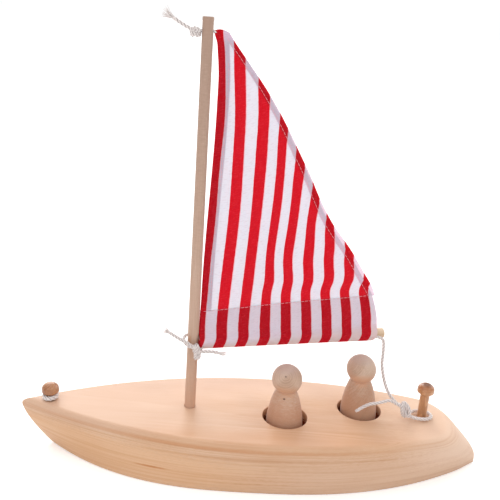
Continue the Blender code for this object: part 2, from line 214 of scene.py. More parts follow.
@dataclass
class Skin:
    """Points and faces gathered from several surfaces before one mesh is made."""

    points: list[Array] = field(default_factory=list)
    faces: list[list[int]] = field(default_factory=list)
    maps: list[Array] = field(default_factory=list)
    count: int = 0

    def grid(self, places: Array, across: bool = False, uv: Array | None = None) -> None:
        """Add a surface given as rows of points.

        Args:
            places: points in an array of rows by columns by three.
            across: whether the last column joins the first.
            uv: map coordinates in an array of rows by columns by two.
        """
        rows, columns = places.shape[:2]
        index = self.count + np.arange(rows * columns).reshape(rows, columns)
        if across:
            index = np.hstack([index, index[:, :1]])
        quads = np.stack([index[:-1, :-1], index[:-1, 1:], index[1:, 1:], index[1:, :-1]], axis=-1)
        self.faces += quads.reshape(-1, 4).tolist()
        self._keep(places, uv)

    def tube(self, rings: Array, uv: Array | None = None) -> None:
        """Add a closed tube whose ends are fans to each end ring's middle.

        Args:
            rings: points in an array of rings by sides by three.
            uv: map coordinates for the same points.
        """
        first = self.count
        last = first + (len(rings) - 1) * rings.shape[1]
        self.grid(rings, across=True, uv=uv)
        self.fan(rings[0], first, False, None if uv is None else uv[:1, :1])
        self.fan(rings[-1], last, True, None if uv is None else uv[-1:, :1])

    def fan(self, ring: Array, base: int, flip: bool, uv: Array | None = None) -> None:
        """Close a ring with triangles to its middle.

        Args:
            ring: the ring's points, which the skin already holds.
            base: the number of its first point.
            flip: whether the triangles run the other way round.
            uv: map coordinates for the middle.
        """
        sides = len(ring)
        turn = np.roll(np.arange(sides), -1)
        fan = np.stack([np.full(sides, self.count), base + turn, base + np.arange(sides)], axis=1)
        self.faces += (fan[:, ::-1] if flip else fan).tolist()
        self._keep(ring.mean(axis=0)[None, None], uv)

    def _keep(self, places: Array, uv: Array | None) -> None:
        """Store points and their map coordinates.

        Args:
            places: the points.
            uv: their map coordinates, or none.
        """
        flat = places.reshape(-1, 3)
        self.points.append(flat)
        self.maps.append(np.zeros((len(flat), 2)) if uv is None else uv.reshape(-1, 2))
        self.count += len(flat)

    def build(self, name: str, material: Finish) -> Piece:
        """Make the mesh object, shaded smooth.

        Args:
            name: the piece's name.
            material: its finish.

        Returns:
            The object, standing at the origin.
        """
        mesh = bpy.data.meshes.new(name)
        mesh.from_pydata((np.vstack(self.points) * MM).tolist(), [], self.faces)
        mesh.validate()
        corner = np.zeros(len(mesh.loops), np.int32)
        mesh.loops.foreach_get("vertex_index", corner)
        layer = mesh.uv_layers.new(name="cloth")
        layer.data.foreach_set("uv", np.vstack(self.maps)[corner].astype(np.float32).ravel())
        mesh.shade_smooth()
        mesh.materials.append(material)
        piece = bpy.data.objects.new(name, mesh)
        bpy.context.scene.collection.objects.link(piece)
        return piece


def turned(profile: Array, middle: tuple[float, float], segments: int = 72) -> Skin:
    """Turn a profile about an upright axis.

    A point of the surface is the profile's radius times the cosine and sine of
    the turn, at the profile's height.  Both ends of the profile lie near the
    axis, and a fan closes each.

    Args:
        profile: rows of radius and height, from the bottom up.
        middle: where the axis stands.
        segments: the number of steps in a full turn.

    Returns:
        The closed surface.
    """
    angle = round_steps(segments)[None, :]
    radius = profile[:, :1]
    x = middle[0] + radius * np.cos(angle)
    y = middle[1] + radius * np.sin(angle)
    z = np.broadcast_to(profile[:, 1:], x.shape)
    skin = Skin()
    skin.tube(np.stack([x, y, z], axis=-1))
    return skin


def fillet(start: tuple[float, float], end: tuple[float, float], bulge: float, steps: int = 6) -> Array:
    """Join two profile points by an arc-like bow.

    The bow leaves the straight line by bulge at its middle, as a sine.

    Args:
        start: radius and height of the first point.
        end: radius and height of the last point.
        bulge: how far the middle stands out, to the right of the line.
        steps: how many points to make.

    Returns:
        The points from start to end.
    """
    a, b = np.asarray(start, float), np.asarray(end, float)
    t = np.linspace(0.0, 1.0, steps)[:, None]
    side = np.array([b[1] - a[1], a[0] - b[0]]) / max(np.linalg.norm(b - a), 1e-9)
    return a + (b - a) * t + side * bulge * np.sin(math.pi * t)


def applied(piece: Piece) -> None:
    """Put a piece's modifiers into its mesh and drop them.

    Args:
        piece: the piece, which keeps its name.
    """
    graph = bpy.context.evaluated_depsgraph_get()
    mesh = bpy.data.meshes.new_from_object(piece.evaluated_get(graph), depsgraph=graph)
    old = piece.data
    piece.modifiers.clear()
    piece.data = mesh
    bpy.data.meshes.remove(old)
    mesh.name = piece.name


def bored(piece: Piece, cutters: Sequence[Piece]) -> None:
    """Cut holes in a piece, then sharpen its edges and even its normals.

    Args:
        piece: the piece to cut.
        cutters: closed shapes to take away, which are removed afterwards.
    """
    for cutter in cutters:
        step = piece.modifiers.new(cutter.name, "BOOLEAN")
        step.operation = "DIFFERENCE"
        step.solver = "EXACT"
        step.object = cutter
    applied(piece)
    for cutter in cutters:
        bpy.data.objects.remove(cutter)
    piece.data.shade_smooth()
    piece.data.set_sharp_from_angle(angle=HOLE_SHARPNESS)
    even = piece.modifiers.new("even_normals", "WEIGHTED_NORMAL")
    even.keep_sharp = True
    even.weight = 100


def keep_first_material(piece: Piece) -> None:
    """Give every face of a piece its first material, after cuts added others.

    Args:
        piece: the piece.
    """
    mesh = piece.data
    mesh.polygons.foreach_set("material_index", np.zeros(len(mesh.polygons), np.int32))
    while len(mesh.materials) > 1:
        mesh.materials.pop(index=len(mesh.materials) - 1)


def flip_outward(piece: Piece) -> None:
    """Turn a closed piece's faces outward if its volume comes out negative.

    The volume is a sixth of the sum, over its triangles, of the first corner
    dotted with the cross product of the other two.

    Args:
        piece: the piece.
    """
    mesh = piece.data
    mesh.calc_loop_triangles()
    corners = np.zeros(len(mesh.loop_triangles) * 3, np.int32)
    mesh.loop_triangles.foreach_get("vertices", corners)
    places = np.zeros(len(mesh.vertices) * 3, np.float32)
    mesh.vertices.foreach_get("co", places)
    a, b, c = (places.reshape(-1, 3)[corners.reshape(-1, 3)[:, k]].astype(float) for k in range(3))
    if (a * np.cross(b, c)).sum() < 0.0:
        mesh.flip_normals()


def settle(piece: Piece, body: Body, slot: str, *nodes: str) -> None:
    """Hand a finished piece to the frame and report it.

    Args:
        piece: the piece.
        body: the body that it rides on.
        slot: the slot that its finish stands for; not used.
        nodes: the pieces of the frame that it replaces.
    """
    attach(piece, body)
    if nodes:
        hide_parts(*nodes)
    log.info("%s: %d faces", piece.name, len(piece.data.polygons))


# ------------------------------------------------------------------ finishes


class Graph:
    """Short-hand for adding and wiring the nodes of one tree."""

    def __init__(self, tree: bpy.types.NodeTree) -> None:
        """Work on a node tree."""
        self.tree = tree

    def add(self, kind: str, **settings: object) -> bpy.types.Node:
        """Add a node.

        Args:
            kind: the node's type.
            settings: its properties.

        Returns:
            The node.
        """
        node = self.tree.nodes.new(kind)
        for name, value in settings.items():
            setattr(node, name, value)
        return node

    def feed(self, target: Socket, value: object) -> None:
        """Wire a socket to another, or set it to a plain value.

        Args:
            target: the socket to feed.
            value: another node's output, a number or a vector.
        """
        if isinstance(value, bpy.types.NodeSocket):
            self.tree.links.new(value, target)
        else:
            target.default_value = value

    def filled(self, node: bpy.types.Node, *values: object) -> bpy.types.Node:
        """Feed a node's inputs in their own order.

        Args:
            node: the node.
            values: what each input takes.

        Returns:
            The same node.
        """
        for socket, value in zip(node.inputs, values):
            self.feed(socket, value)
        return node

    def fed(self, node: bpy.types.Node, **values: object) -> bpy.types.Node:
        """Feed a node's inputs by name, with _ for a space.

        Args:
            node: the node.
            values: what each named input takes.

        Returns:
            The same node.
        """
        for name, value in values.items():
            self.feed(node.inputs[name.replace("_", " ").title()], value)
        return node

    def maths(self, operation: str, *values: object, clamp: bool = False) -> Socket:
        """Combine numbers with one arithmetic node."""
        node = self.add("ShaderNodeMath", operation=operation, use_clamp=clamp)
        return self.filled(node, *values).outputs[0]

    def times(self, *values: object) -> Socket:
        """Multiply two numbers."""
        return self.maths("MULTIPLY", *values)

    def plus(self, *values: object) -> Socket:
        """Add two numbers."""
        return self.maths("ADD", *values)

    def minus(self, *values: object) -> Socket:
        """Take the second number from the first."""
        return self.maths("SUBTRACT", *values)

    def scaled(self, *values: object) -> Socket:
        """Multiply the first two numbers and add the third."""
        return self.maths("MULTIPLY_ADD", *values)

    def vectors(self, operation: str, *values: object) -> Socket:
        """Combine vectors with one vector node, and give its vector or its length."""
        node = self.filled(self.add("ShaderNodeVectorMath", operation=operation), *values)
        return node.outputs["Value" if operation == "LENGTH" else "Vector"]

    def parts(self, vector: Socket) -> Sequence[Socket]:
        """Split a vector into its three parts."""
        return self.filled(self.add("ShaderNodeSeparateXYZ"), vector).outputs

    def mix(self, share: object, first: object, second: object) -> Socket:
        """Mix two colours.

        Args:
            share: how much of the second shows.
            first: the first colour.
            second: the second colour.

        Returns:
            The mixed colour.
        """
        node = self.add("ShaderNodeMix", data_type="RGBA", clamp_factor=True)
        sockets = (node.inputs["Factor"], node.inputs[6], node.inputs[7])
        for socket, value in zip(sockets, (share, first, second)):
            self.feed(socket, value)
        return node.outputs[2]

    def noise(self, vector: Socket, detail: float = 2.0, rough: float = 0.5) -> Socket:
        """Read noise at a vector, in so many layers."""
        node = self.add("ShaderNodeTexNoise")
        return self.fed(node, vector=vector, scale=1.0, detail=detail, roughness=rough).outputs["Fac"]

    def noise_along(self, distance: Socket) -> Socket:
        """Read noise at a distance along a line."""
        return self.fed(self.add("ShaderNodeTexNoise", noise_dimensions="1D"), w=distance).outputs["Fac"]

    def rise(self, value: Socket, low: object, high: object) -> Socket:
        """Ease a number from 0 at low to 1 at high."""
        node = self.add("ShaderNodeMapRange", interpolation_type="SMOOTHSTEP")
        return self.fed(node, value=value, from_min=low, from_max=high).outputs["Result"]

    def stretch(self, vector: Socket, scale: Point = AS_IT_IS, turn: Point = (0.0, 0.0, 0.0)) -> Socket:
        """Scale a vector, then turn it by so many degrees."""
        node = self.fed(self.add("ShaderNodeMapping"), vector=vector, scale=scale)
        return self.fed(node, rotation=tuple(math.radians(a) for a in turn)).outputs[0]

    def place(self) -> Socket:
        """Give the place in boat millimetres."""
        return self.stretch(self.add("ShaderNodeTexCoord").outputs["Object"], (1 / MM, 1 / MM, 1 / MM))

    def cloth_map(self) -> Socket:
        """Give the piece's own map."""
        return self.add("ShaderNodeUVMap", uv_map="cloth").outputs["UV"]


Sockets = dict[str, Socket]


def new_group(name: str, takes: dict[str, str], gives: Sequence[str]) -> tuple[Graph, Sockets, Sockets]:
    """Start a node group.

    Args:
        name: the group's name.
        takes: input names with their socket kinds.
        gives: output names, all plain numbers.

    Returns:
        The group's graph, its input sockets and its output sockets.
    """
    tree = bpy.data.node_groups.new(name, "ShaderNodeTree")
    for label, kind in takes.items():
        tree.interface.new_socket(label, in_out="INPUT", socket_type=kind)
    for label in gives:
        tree.interface.new_socket(label, in_out="OUTPUT", socket_type="NodeSocketFloat")
    graph = Graph(tree)
    entry = graph.add("NodeGroupInput")
    leave = graph.add("NodeGroupOutput")
    return graph, {s.name: s for s in entry.outputs if s.name}, {s.name: s for s in leave.inputs if s.name}


def grain_group() -> bpy.types.NodeTree:
    """Build the grain of sawn timber, once.

    Rings are shells round a pith that runs along X: their number is the
    distance from it over the pitch, after a slow drift.  Each ring darkens
    slowly and ends sharply.  Fibres and flecks are noise drawn out along X.

    Returns:
        A group that gives Rings, Fibres, Cloud and Flecks, each 0 to 1.
    """
    known = bpy.data.node_groups.get("timber_grain")
    if known:
        return known
    takes = {"Vector": "NodeSocketVector", "Ring Pitch": "NodeSocketFloat", "Wander": "NodeSocketFloat"}
    g, taken, given = new_group("timber_grain", takes, ("Rings", "Fibres", "Cloud", "Flecks"))
    place = taken["Vector"]
    drift = g.noise(g.stretch(place, (0.011, 0.05, 0.05))).node.outputs["Color"]
    drift = g.vectors("SUBTRACT", drift, (0.5, 0.5, 0.5))
    drift = g.vectors("MULTIPLY", drift, g.vectors("MULTIPLY", (0.0, 2.0, 2.0), taken["Wander"]))
    moved = g.vectors("ADD", place, drift)
    across = g.vectors("LENGTH", g.vectors("MULTIPLY", moved, (0.0, 1.0, 1.0)))
    number = g.maths("DIVIDE", across, taken["Ring Pitch"])
    number = g.plus(number, g.times(g.noise_along(g.times(number, 0.45)), 1.6))
    part = g.maths("FRACT", number)
    late = g.times(g.rise(part, 0.15, 0.86), g.rise(part, 1.0, 0.9))
    strength = g.fed(g.add("ShaderNodeTexWhiteNoise", noise_dimensions="1D"), w=g.maths("FLOOR", number))
    patch = g.noise(g.stretch(place, (0.02, 0.1, 0.1)), 1.0)
    weight = g.scaled(strength.outputs["Value"], 0.6, 0.4)
    weight = g.times(weight, g.rise(patch, 0.25, 0.7))
    g.feed(given["Rings"], g.times(late, weight))
    g.feed(given["Fibres"], g.noise(g.stretch(place, (0.045, 2.4, 2.4)), 3.0, 0.65))
    g.feed(given["Cloud"], g.noise(g.stretch(place, (0.014, 0.07, 0.07)), 2.0))
    dash = g.noise(g.stretch(place, (0.22, 3.4, 3.4)), 1.0)
    g.feed(given["Flecks"], g.rise(dash, 0.66, 0.76))
    return g.tree


def stain_and_light_group() -> bpy.types.NodeTree:
    """Build a soft oval mark in the wood, once: a stain, a grain feature, or painted light or shade.

    The mark is full where the distance from its centre, each part over its
    reach, is small, and gone where it is one.  Drawn-out noise breaks its edge.

    Returns:
        A group that gives the mark's Mask, 0 to 1.
    """
    known = bpy.data.node_groups.get("stain_and_painted_light")
    if known:
        return known
    takes = {"Vector": "NodeSocketVector", "Centre": "NodeSocketVector", "Reach": "NodeSocketVector"}
    takes["Core"] = "NodeSocketFloat"
    g, taken, given = new_group("stain_and_painted_light", takes, ("Mask",))
    offset = g.vectors("DIVIDE", g.vectors("SUBTRACT", taken["Vector"], taken["Centre"]), taken["Reach"])
    ragged = g.noise(g.stretch(taken["Vector"], (0.25, 1.1, 1.1)), 2.0)
    far = g.plus(g.vectors("LENGTH", offset), g.scaled(ragged, 0.5, -0.25))
    g.feed(given["Mask"], g.rise(far, 1.0, taken["Core"]))
    return g.tree


def begin_material(name: str, rough: float) -> tuple[Finish, Graph, bpy.types.Node]:
    """Start a material.

    Args:
        name: the material's name.
        rough: its plain roughness.

    Returns:
        The material, its graph and its main shader.
    """
    material = bpy.data.materials.new(name)
    material.use_nodes = True
    shader = material.node_tree.nodes["Principled BSDF"]
    shader.inputs["Roughness"].default_value = rough
    return material, Graph(material.node_tree), shader


def set_plain(shader: bpy.types.Node, values: dict[str, object]) -> None:
    """Set a shader's own sockets to values that are the same all over.

    Args:
        shader: the shader.
        values: the value for each socket's name.
    """
    for name, value in values.items():
        shader.inputs[name].default_value = value


def rough_surface(g: Graph, shader: bpy.types.Node, height: Socket, strength: float, depth: float) -> None:
    """Raise a surface by a height pattern.

    Args:
        g: the material's graph.
        shader: its main shader.
        height: the pattern, 0 to 1.
        strength: how much of the relief shows.
        depth: the relief's depth in millimetres.
    """
    bump = g.add("ShaderNodeBump")
    bump.inputs["Strength"].default_value = strength
    bump.inputs["Distance"].default_value = depth * MM
    g.feed(bump.inputs["Height"], height)
    g.feed(shader.inputs["Normal"], bump.outputs["Normal"])


@dataclass(frozen=True)
class Mark:
    """A mark at one place in the wood, in boat millimetres: a stain, a grain feature, or painted light or
    shade.
    """

    centre: Point
    reach: Point
    tone: Tone
    strength: float
    core: float = 0.35


@dataclass(frozen=True)
class Timber:
    """The finish of one wooden piece."""

    name: str
    pale: Tone
    warm: Tone
    ring: Tone
    grain: Grain = Grain.LENGTHWISE
    pith: Point = (0.0, 0.0, 0.0)
    tilt: Point = (0.0, 0.0, 0.0)
    ring_pitch: float = 1.5
    wander: float = 1.2
    ring_share: float = 0.5
    fibre_share: float = 0.25
    fleck_share: float = 0.2
    rough: float = 0.5
    coat: float = 0.0
    relief: float = 0.05
    sheen: float = 0.0
    level_lines: float = 0.0
    marks: tuple[Mark, ...] = ()

    def material(self) -> Finish:
        """Build the material.

        The pith is the point that the ring centre passes through.  The place is
        moved there, turned so that the grain runs along X, then tilted.

        Returns:
            The procedural wood.
        """
        material, g, shader = begin_material(self.name, self.rough)
        place = g.place()
        local = g.stretch(g.vectors("SUBTRACT", place, self.pith), turn=self.grain.value)
        local = g.stretch(local, turn=self.tilt)
        grain = g.add("ShaderNodeGroup", node_tree=grain_group())
        wood = g.fed(grain, vector=local, ring_pitch=self.ring_pitch, wander=self.wander)
        rings, fibres, cloud, flecks = (wood.outputs[k] for k in ("Rings", "Fibres", "Cloud", "Flecks"))
        colour = g.mix(g.rise(cloud, 0.32, 0.68), linear(self.pale), linear(self.warm))
        colour = g.mix(g.times(rings, self.ring_share), colour, linear(self.ring))
        shade = g.times(g.rise(fibres, 0.42, 0.72), self.fibre_share)
        colour = g.mix(shade, colour, linear(self.ring))
        colour = g.mix(g.times(flecks, self.fleck_share), colour, linear(self.ring))
        if self.level_lines:
            colour = g.mix(self.sawn_lines(g, place), colour, linear(self.ring))
        # each mark paints a stain, a grain feature, or painted light or shade
        for mark in self.marks:
            stain_and_painted_light = g.add("ShaderNodeGroup", node_tree=stain_and_light_group())
            g.fed(stain_and_painted_light, vector=place, centre=mark.centre, reach=mark.reach, core=mark.core)
            share = g.times(stain_and_painted_light.outputs["Mask"], mark.strength)
            colour = g.mix(share, colour, linear(mark.tone))
        g.feed(shader.inputs["Base Color"], colour)
        g.feed(shader.inputs["Roughness"], g.scaled(fibres, 0.22, self.rough - 0.11))
        set_plain(shader, {"Coat Weight": self.coat, "Coat Roughness": 0.18, "Specular IOR Level": 0.35})
        set_plain(shader, {"Sheen Weight": self.sheen, "Sheen Roughness": 0.4})
        height = g.plus(g.times(rings, -0.5), g.times(fibres, 0.8))
        rough_surface(g, shader, height, 0.6, self.relief)
        return material

    def sawn_lines(self, g: Graph, place: Socket) -> Socket:
        """Draw the growth lines that show on upright faces.

        They are noise that changes quickly with height and hardly along the
        wood, in a coarse and a fine set, and they end below the deck's edge.

        Args:
            g: the material's graph.
            place: boat millimetres.

        Returns:
            How strongly the lines show, 0 to 1.
        """
        slope = (0.0, 0.5, 0.0)
        coarse = g.noise(g.stretch(place, (0.005, 0.01, 0.55), slope), 2.0, 0.6)
        fine = g.noise(g.stretch(place, (0.02, 0.02, 1.9), slope), 2.0, 0.6)
        both = g.scaled(g.rise(fine, 0.44, 0.66), 0.45, g.rise(coarse, 0.47, 0.62))
        below = g.rise(g.parts(place)["Z"], 29.5, 27.5)
        return g.times(g.times(both, below), self.level_lines)


HULL_WOOD = Timber(
    name="hull_pine", pale=(225, 190, 161), warm=(218, 178, 145), ring=(186, 124, 78),
    pith=(0.0, 14.0, -260.0), tilt=(0.0, 0.35, 0.5), ring_pitch=1.45, wander=0.45, ring_share=0.4,
    fibre_share=0.22, rough=0.44, level_lines=0.42,
    marks=(
        Mark((-90.0, 0.0, 10.0), (150.0, 120.0, 18.0), (232, 184, 140), 0.5, 0.5),
        Mark((95.0, 0.0, 10.0), (140.0, 120.0, 18.0), (224, 190, 164), 0.5, 0.5),
        # painted light: the stern's deck and transom painted paler, as if lit from astern
        Mark((128.0, 0.0, 31.0), (60.0, 120.0, 30.0), (236, 206, 184), 0.55, 0.4),
        Mark((-105.0, 0.0, 31.0), (85.0, 60.0, 9.0), (214, 176, 152), 0.45, 0.3),
        # painted shade: the port (near) deck edge painted darker and more orange
        Mark((20.0, -34.0, 31.0), (130.0, 17.0, 8.0), (214, 166, 128), 0.6, 0.2),
        # painted sheen: the starboard (far) deck edge painted paler
        Mark((20.0, 32.0, 31.0), (150.0, 26.0, 8.0), (226, 196, 176), 0.5, 0.2),
        Mark((-30.0, 0.0, 27.6), (160.0, 120.0, 1.9), (200, 134, 82), 0.55, 0.1),
        Mark((104.0, 0.0, 29.2), (34.0, 120.0, 0.7), (204, 150, 112), 0.3, 0.2),
        Mark((112.0, 0.0, 27.2), (28.0, 120.0, 0.5), (204, 150, 112), 0.35, 0.2),
        Mark((114.0, 0.0, 25.6), (26.0, 120.0, 0.5), (204, 152, 112), 0.3, 0.2),
        Mark((-70.0, 8.0, 31.0), (110.0, 60.0, 8.0), (214, 176, 150), 0.4, 0.3),
        Mark((-60.0, -34.5, 10.6), (15.0, 9.0, 0.9), (196, 124, 66), 0.8, 0.2),
        # painted shade: both seat walls painted dark orange-brown, standing in for the shade and warm
        # bounce light inside the sockets
        Mark((18.1, -6.3, 21.5), (17.0, 17.0, 9.3), (158, 66, 14), 1.0, 0.85),
        Mark((65.8, 6.6, 21.5), (17.0, 17.0, 9.3), (158, 66, 14), 1.0, 0.85),
    ),
)
MAST_WOOD = Timber(
    name="mast_dowel", pale=(209, 180, 162), warm=(199, 167, 147), ring=(168, 130, 104),
    grain=Grain.UPRIGHT, pith=(-39.0, 2.0, 60.0), tilt=(0.0, 1.0, 0.6), ring_pitch=1.1, wander=0.5,
    ring_share=0.3, fibre_share=0.32, rough=0.55,
    marks=(
        Mark((-42.2, -3.0, 77.5), (1.5, 2.5, 3.4), (178, 112, 66), 0.55, 0.1),
        # painted bounce light: the mast's lower part painted warmer and paler, near the deck
        Mark((-40.1, 0.0, 20.0), (8.0, 8.0, 60.0), (222, 174, 144), 0.6, 0.2),
        # painted shade: the mast's upper part painted greyer and darker
        Mark((-40.1, 0.0, 270.0), (9.0, 9.0, 190.0), (169, 139, 122), 0.85, 0.25),
    ),
)
BOOM_WOOD = Timber(
    name="boom_dowel", pale=(232, 208, 182), warm=(218, 190, 160), ring=(176, 140, 106),
    grain=Grain.ALONG_BOOM, pith=(80.0, 24.0, 76.0), ring_pitch=0.9, wander=0.3, ring_share=0.4,
    fibre_share=0.25, rough=0.55,
)
BOW_PEG_WOOD = Timber(
    name="bow_peg_wood", pale=(206, 160, 122), warm=(176, 118, 80), ring=(118, 66, 38),
    grain=Grain.UPRIGHT, pith=(-126.0, -1.0, 30.0), tilt=(12.0, 8.0, 0.0), ring_pitch=1.2,
    wander=0.5, ring_share=0.6, fibre_share=0.4, rough=0.32, coat=0.35,
)
STERN_PEG_WOOD = Timber(
    name="stern_peg_wood", pale=(224, 172, 130), warm=(207, 151, 107), ring=(134, 82, 48),
    grain=Grain.UPRIGHT, pith=(104.6, 1.0, 30.0), tilt=(4.0, 6.0, 0.0), ring_pitch=1.3, wander=0.5,
    ring_share=0.5, fibre_share=0.45, rough=0.3, coat=0.45,
    marks=(
        Mark((103.7, 0.0, 56.5), (9.0, 9.0, 8.4), (166, 104, 66), 0.75, 0.6),
        Mark((103.9, -0.6, 55.6), (5.6, 5.6, 3.0), (104, 58, 34), 0.85, 0.35),
        # painted shade: a small dark spot on the crown, standing in for the shade of a dimple
        Mark((106.0, -1.8, 54.8), (1.6, 1.3, 1.0), (70, 34, 18), 0.85, 0.3),
    ),
)
FORE_PASSENGER_WOOD = Timber(
    name="fore_passenger_beech", pale=(216, 188, 168), warm=(200, 166, 143), ring=(148, 112, 90),
    grain=Grain.UPRIGHT, pith=(15.6, -12.9, 61.5), tilt=(0.0, 0.0, 50.0), ring_pitch=1.25,
    wander=0.3, ring_share=0.5, fibre_share=0.2, fleck_share=0.3, rough=0.6, sheen=0.2,
    marks=(
        Mark((17.4, -6.0, 26.0), (22.0, 22.0, 30.0), (190, 128, 90), 0.6, 0.5),
        # painted sheen: the head's top painted greyer
        Mark((17.4, -6.0, 66.0), (12.0, 12.0, 9.0), (184, 162, 156), 0.5, 0.3),
        # painted bounce light: the head's lower part painted warmer, as lit from the deck
        Mark((16.8, -12.0, 51.5), (11.0, 9.0, 6.0), (216, 160, 122), 0.5, 0.3),
        Mark((15.6, -12.9, 61.5), (0.9, 0.9, 0.7), (96, 66, 50), 0.85, 0.3),
        Mark((15.9, -12.9, 46.6), (1.0, 1.0, 0.8), (90, 54, 38), 0.9, 0.3),
    ),
)
AFT_PASSENGER_WOOD = Timber(
    name="aft_passenger_beech", pale=(214, 188, 168), warm=(198, 164, 142), ring=(148, 112, 90),
    grain=Grain.UPRIGHT, pith=(113.0, 7.6, 24.0), tilt=(0.0, -35.0, 0.0), ring_pitch=1.2,
    wander=0.4, ring_share=0.36, fibre_share=0.34, fleck_share=0.3, rough=0.6, sheen=0.2,
    marks=(
        Mark((64.0, 7.6, 28.0), (22.0, 22.0, 30.0), (188, 134, 100), 0.6, 0.5),
        # painted sheen: the head's top painted greyer
        Mark((64.0, 7.6, 68.0), (12.0, 12.0, 9.0), (184, 164, 158), 0.5, 0.3),
        # painted bounce light: the head's lower part painted warmer, as lit from the deck
        Mark((64.0, 1.6, 54.0), (11.0, 9.0, 6.5), (214, 158, 122), 0.6, 0.3),
    ),
)


@dataclass(frozen=True)
class StripedCotton:
    """Yarn-dyed cotton with stripes that run up the cloth.

    The map holds the cloth's own millimetres over the map scale, across and up.
    The attribute "edges" holds the distance in millimetres inside the luff
    hem, inside the leech hem and below the foot seam.
    """

    red: Tone = (210, 18, 36)
    # the doubled and hemmed tones are painted shade: darker, as less light shines through two layers
    red_doubled: Tone = (194, 10, 26)
    white: Tone = (227, 229, 237)
    white_doubled: Tone = (236, 220, 232)
    white_hemmed: Tone = (212, 200, 214)
    # painted bounce light from the deck: a cream tint for the white where it wraps under the boom
    painted_bounce: Tone = (226, 203, 203)
    painted_bounce_below_seam: tuple[float, float] = (17.0, 24.0)
    fringe: Tone = (246, 178, 190)
    faded: Tone = (242, 84, 96)
    shadow: Tone = (150, 60, 80)
    hollow_shade: Tone = (120, 40, 60)
    period: float = 13.28
    first: float = 0.1
    width: float = 6.5
    blur: float = 0.16
    thread: float = 0.42

    def material(self) -> Finish:
        """Build the cloth's material.

        Cloth in two layers is painted darker, as painted shade where less light
        shines through it.  Slubs fade the red along and across the yarns, and the
        white is painted cream where it turns under the boom, as painted bounce
        light from the deck.

        Returns:
            The striped cloth.
        """
        material, g, shader = begin_material("striped_cotton", 0.85)
        cloth = g.stretch(g.cloth_map(), (MAP_SCALE, MAP_SCALE, 1.0))
        stripe, rim = self.stripe(g, cloth)
        plain = g.minus(1.0, stripe)
        inside = g.parts(g.add("ShaderNodeAttribute", attribute_name="edges").outputs["Vector"])
        luff, leech, sleeve = (g.rise(inside[k], -0.12, 0.12) for k in ("X", "Y", "Z"))
        hemmed = g.maths("MAXIMUM", luff, leech)
        # painted shade: doubled cloth in the hems and the sleeve is painted darker than single cloth
        red = g.mix(g.maths("MAXIMUM", hemmed, sleeve), linear(self.red), linear(self.red_doubled))
        white = g.mix(sleeve, linear(self.white), linear(self.white_doubled))
        white = g.mix(g.times(hemmed, g.minus(1.0, sleeve)), white, linear(self.white_hemmed))
        white = g.mix(g.times(rim, 0.45), white, linear(self.fringe))
        colour = g.mix(stripe, white, red)
        slub = g.noise(g.stretch(cloth, (1.9, 0.4, 1.0)), 3.0)
        pick = g.noise(g.stretch(cloth, (0.35, 2.1, 1.0)), 3.0)
        faded = g.scaled(g.rise(pick, 0.5, 0.7), 0.26, g.times(g.rise(slub, 0.48, 0.7), 0.12))
        colour = g.mix(g.times(faded, stripe), colour, linear(self.faded))
        colour = g.mix(g.times(g.rise(pick, 0.5, 0.32), 0.14), colour, linear(self.shadow))
        # painted bounce light: the white turns cream where the cloth wraps under the boom, nearest the
        # deck
        painted_bounce = g.times(g.rise(inside["Z"], *self.painted_bounce_below_seam), plain)
        colour = g.mix(painted_bounce, colour, linear(self.painted_bounce))
        weave = self.weave(g, cloth)
        # painted shade in the weave's hollows
        colour = g.mix(g.times(g.minus(1.0, weave), 0.1), colour, linear(self.hollow_shade))
        g.feed(shader.inputs["Base Color"], colour)
        set_plain(shader, {"Specular IOR Level": 0.08, "Subsurface Weight": 1.0})
        set_plain(shader, {"Subsurface Radius": (1.0, 0.8, 0.8), "Subsurface Scale": 0.9 * MM})
        rough_surface(g, shader, weave, 0.5, 0.09)
        return material

    def stripe(self, g: Graph, cloth: Socket) -> tuple[Socket, Socket]:
        """Find the stripes.

        A stripe is where the distance across, less whole periods, is below the
        stripe's width.  Its edges wander by a fraction of a millimetre.

        Args:
            g: the material's graph.
            cloth: the cloth's own millimetres.

        Returns:
            How far a place is in a stripe, and how near to a stripe's outer rim.
        """
        wobble = g.noise(g.stretch(cloth, (2.0, 0.35, 1.0)))
        across = g.plus(g.parts(cloth)["X"], g.scaled(wobble, 0.4, -0.2))
        phase = g.maths("FRACT", g.maths("DIVIDE", g.minus(across, self.first), self.period))
        here = g.times(phase, self.period)
        stripe = g.times(g.rise(here, 0.0, self.blur), g.rise(here, self.width + self.blur, self.width))
        middle = g.maths("ABSOLUTE", g.minus(here, self.width * 0.5))
        return stripe, g.rise(g.maths("ABSOLUTE", g.minus(middle, self.width * 0.5 + 0.25)), 0.55, 0.1)

    def weave(self, g: Graph, cloth: Socket) -> Socket:
        """Give the height of a plain weave.

        Warp and weft are two rounded waves, and a checker of the two picks
        which of them lies on top.

        Args:
            g: the material's graph.
            cloth: the cloth's own millimetres.

        Returns:
            The height, 0 to 1.
        """
        turns = [g.times(part, math.pi / self.thread) for part in g.parts(cloth)[:2]]
        waves = [g.maths("SINE", t) for t in turns]
        over = g.rise(g.times(waves[0], waves[1]), -0.3, 0.3)
        ridges = [g.maths("ABSOLUTE", g.maths("COSINE", t)) for t in turns]
        warp = g.times(over, ridges[0])
        weft = g.times(g.minus(1.0, over), ridges[1])
        return g.maths("SUBTRACT", 1.0, g.plus(warp, weft), clamp=True)


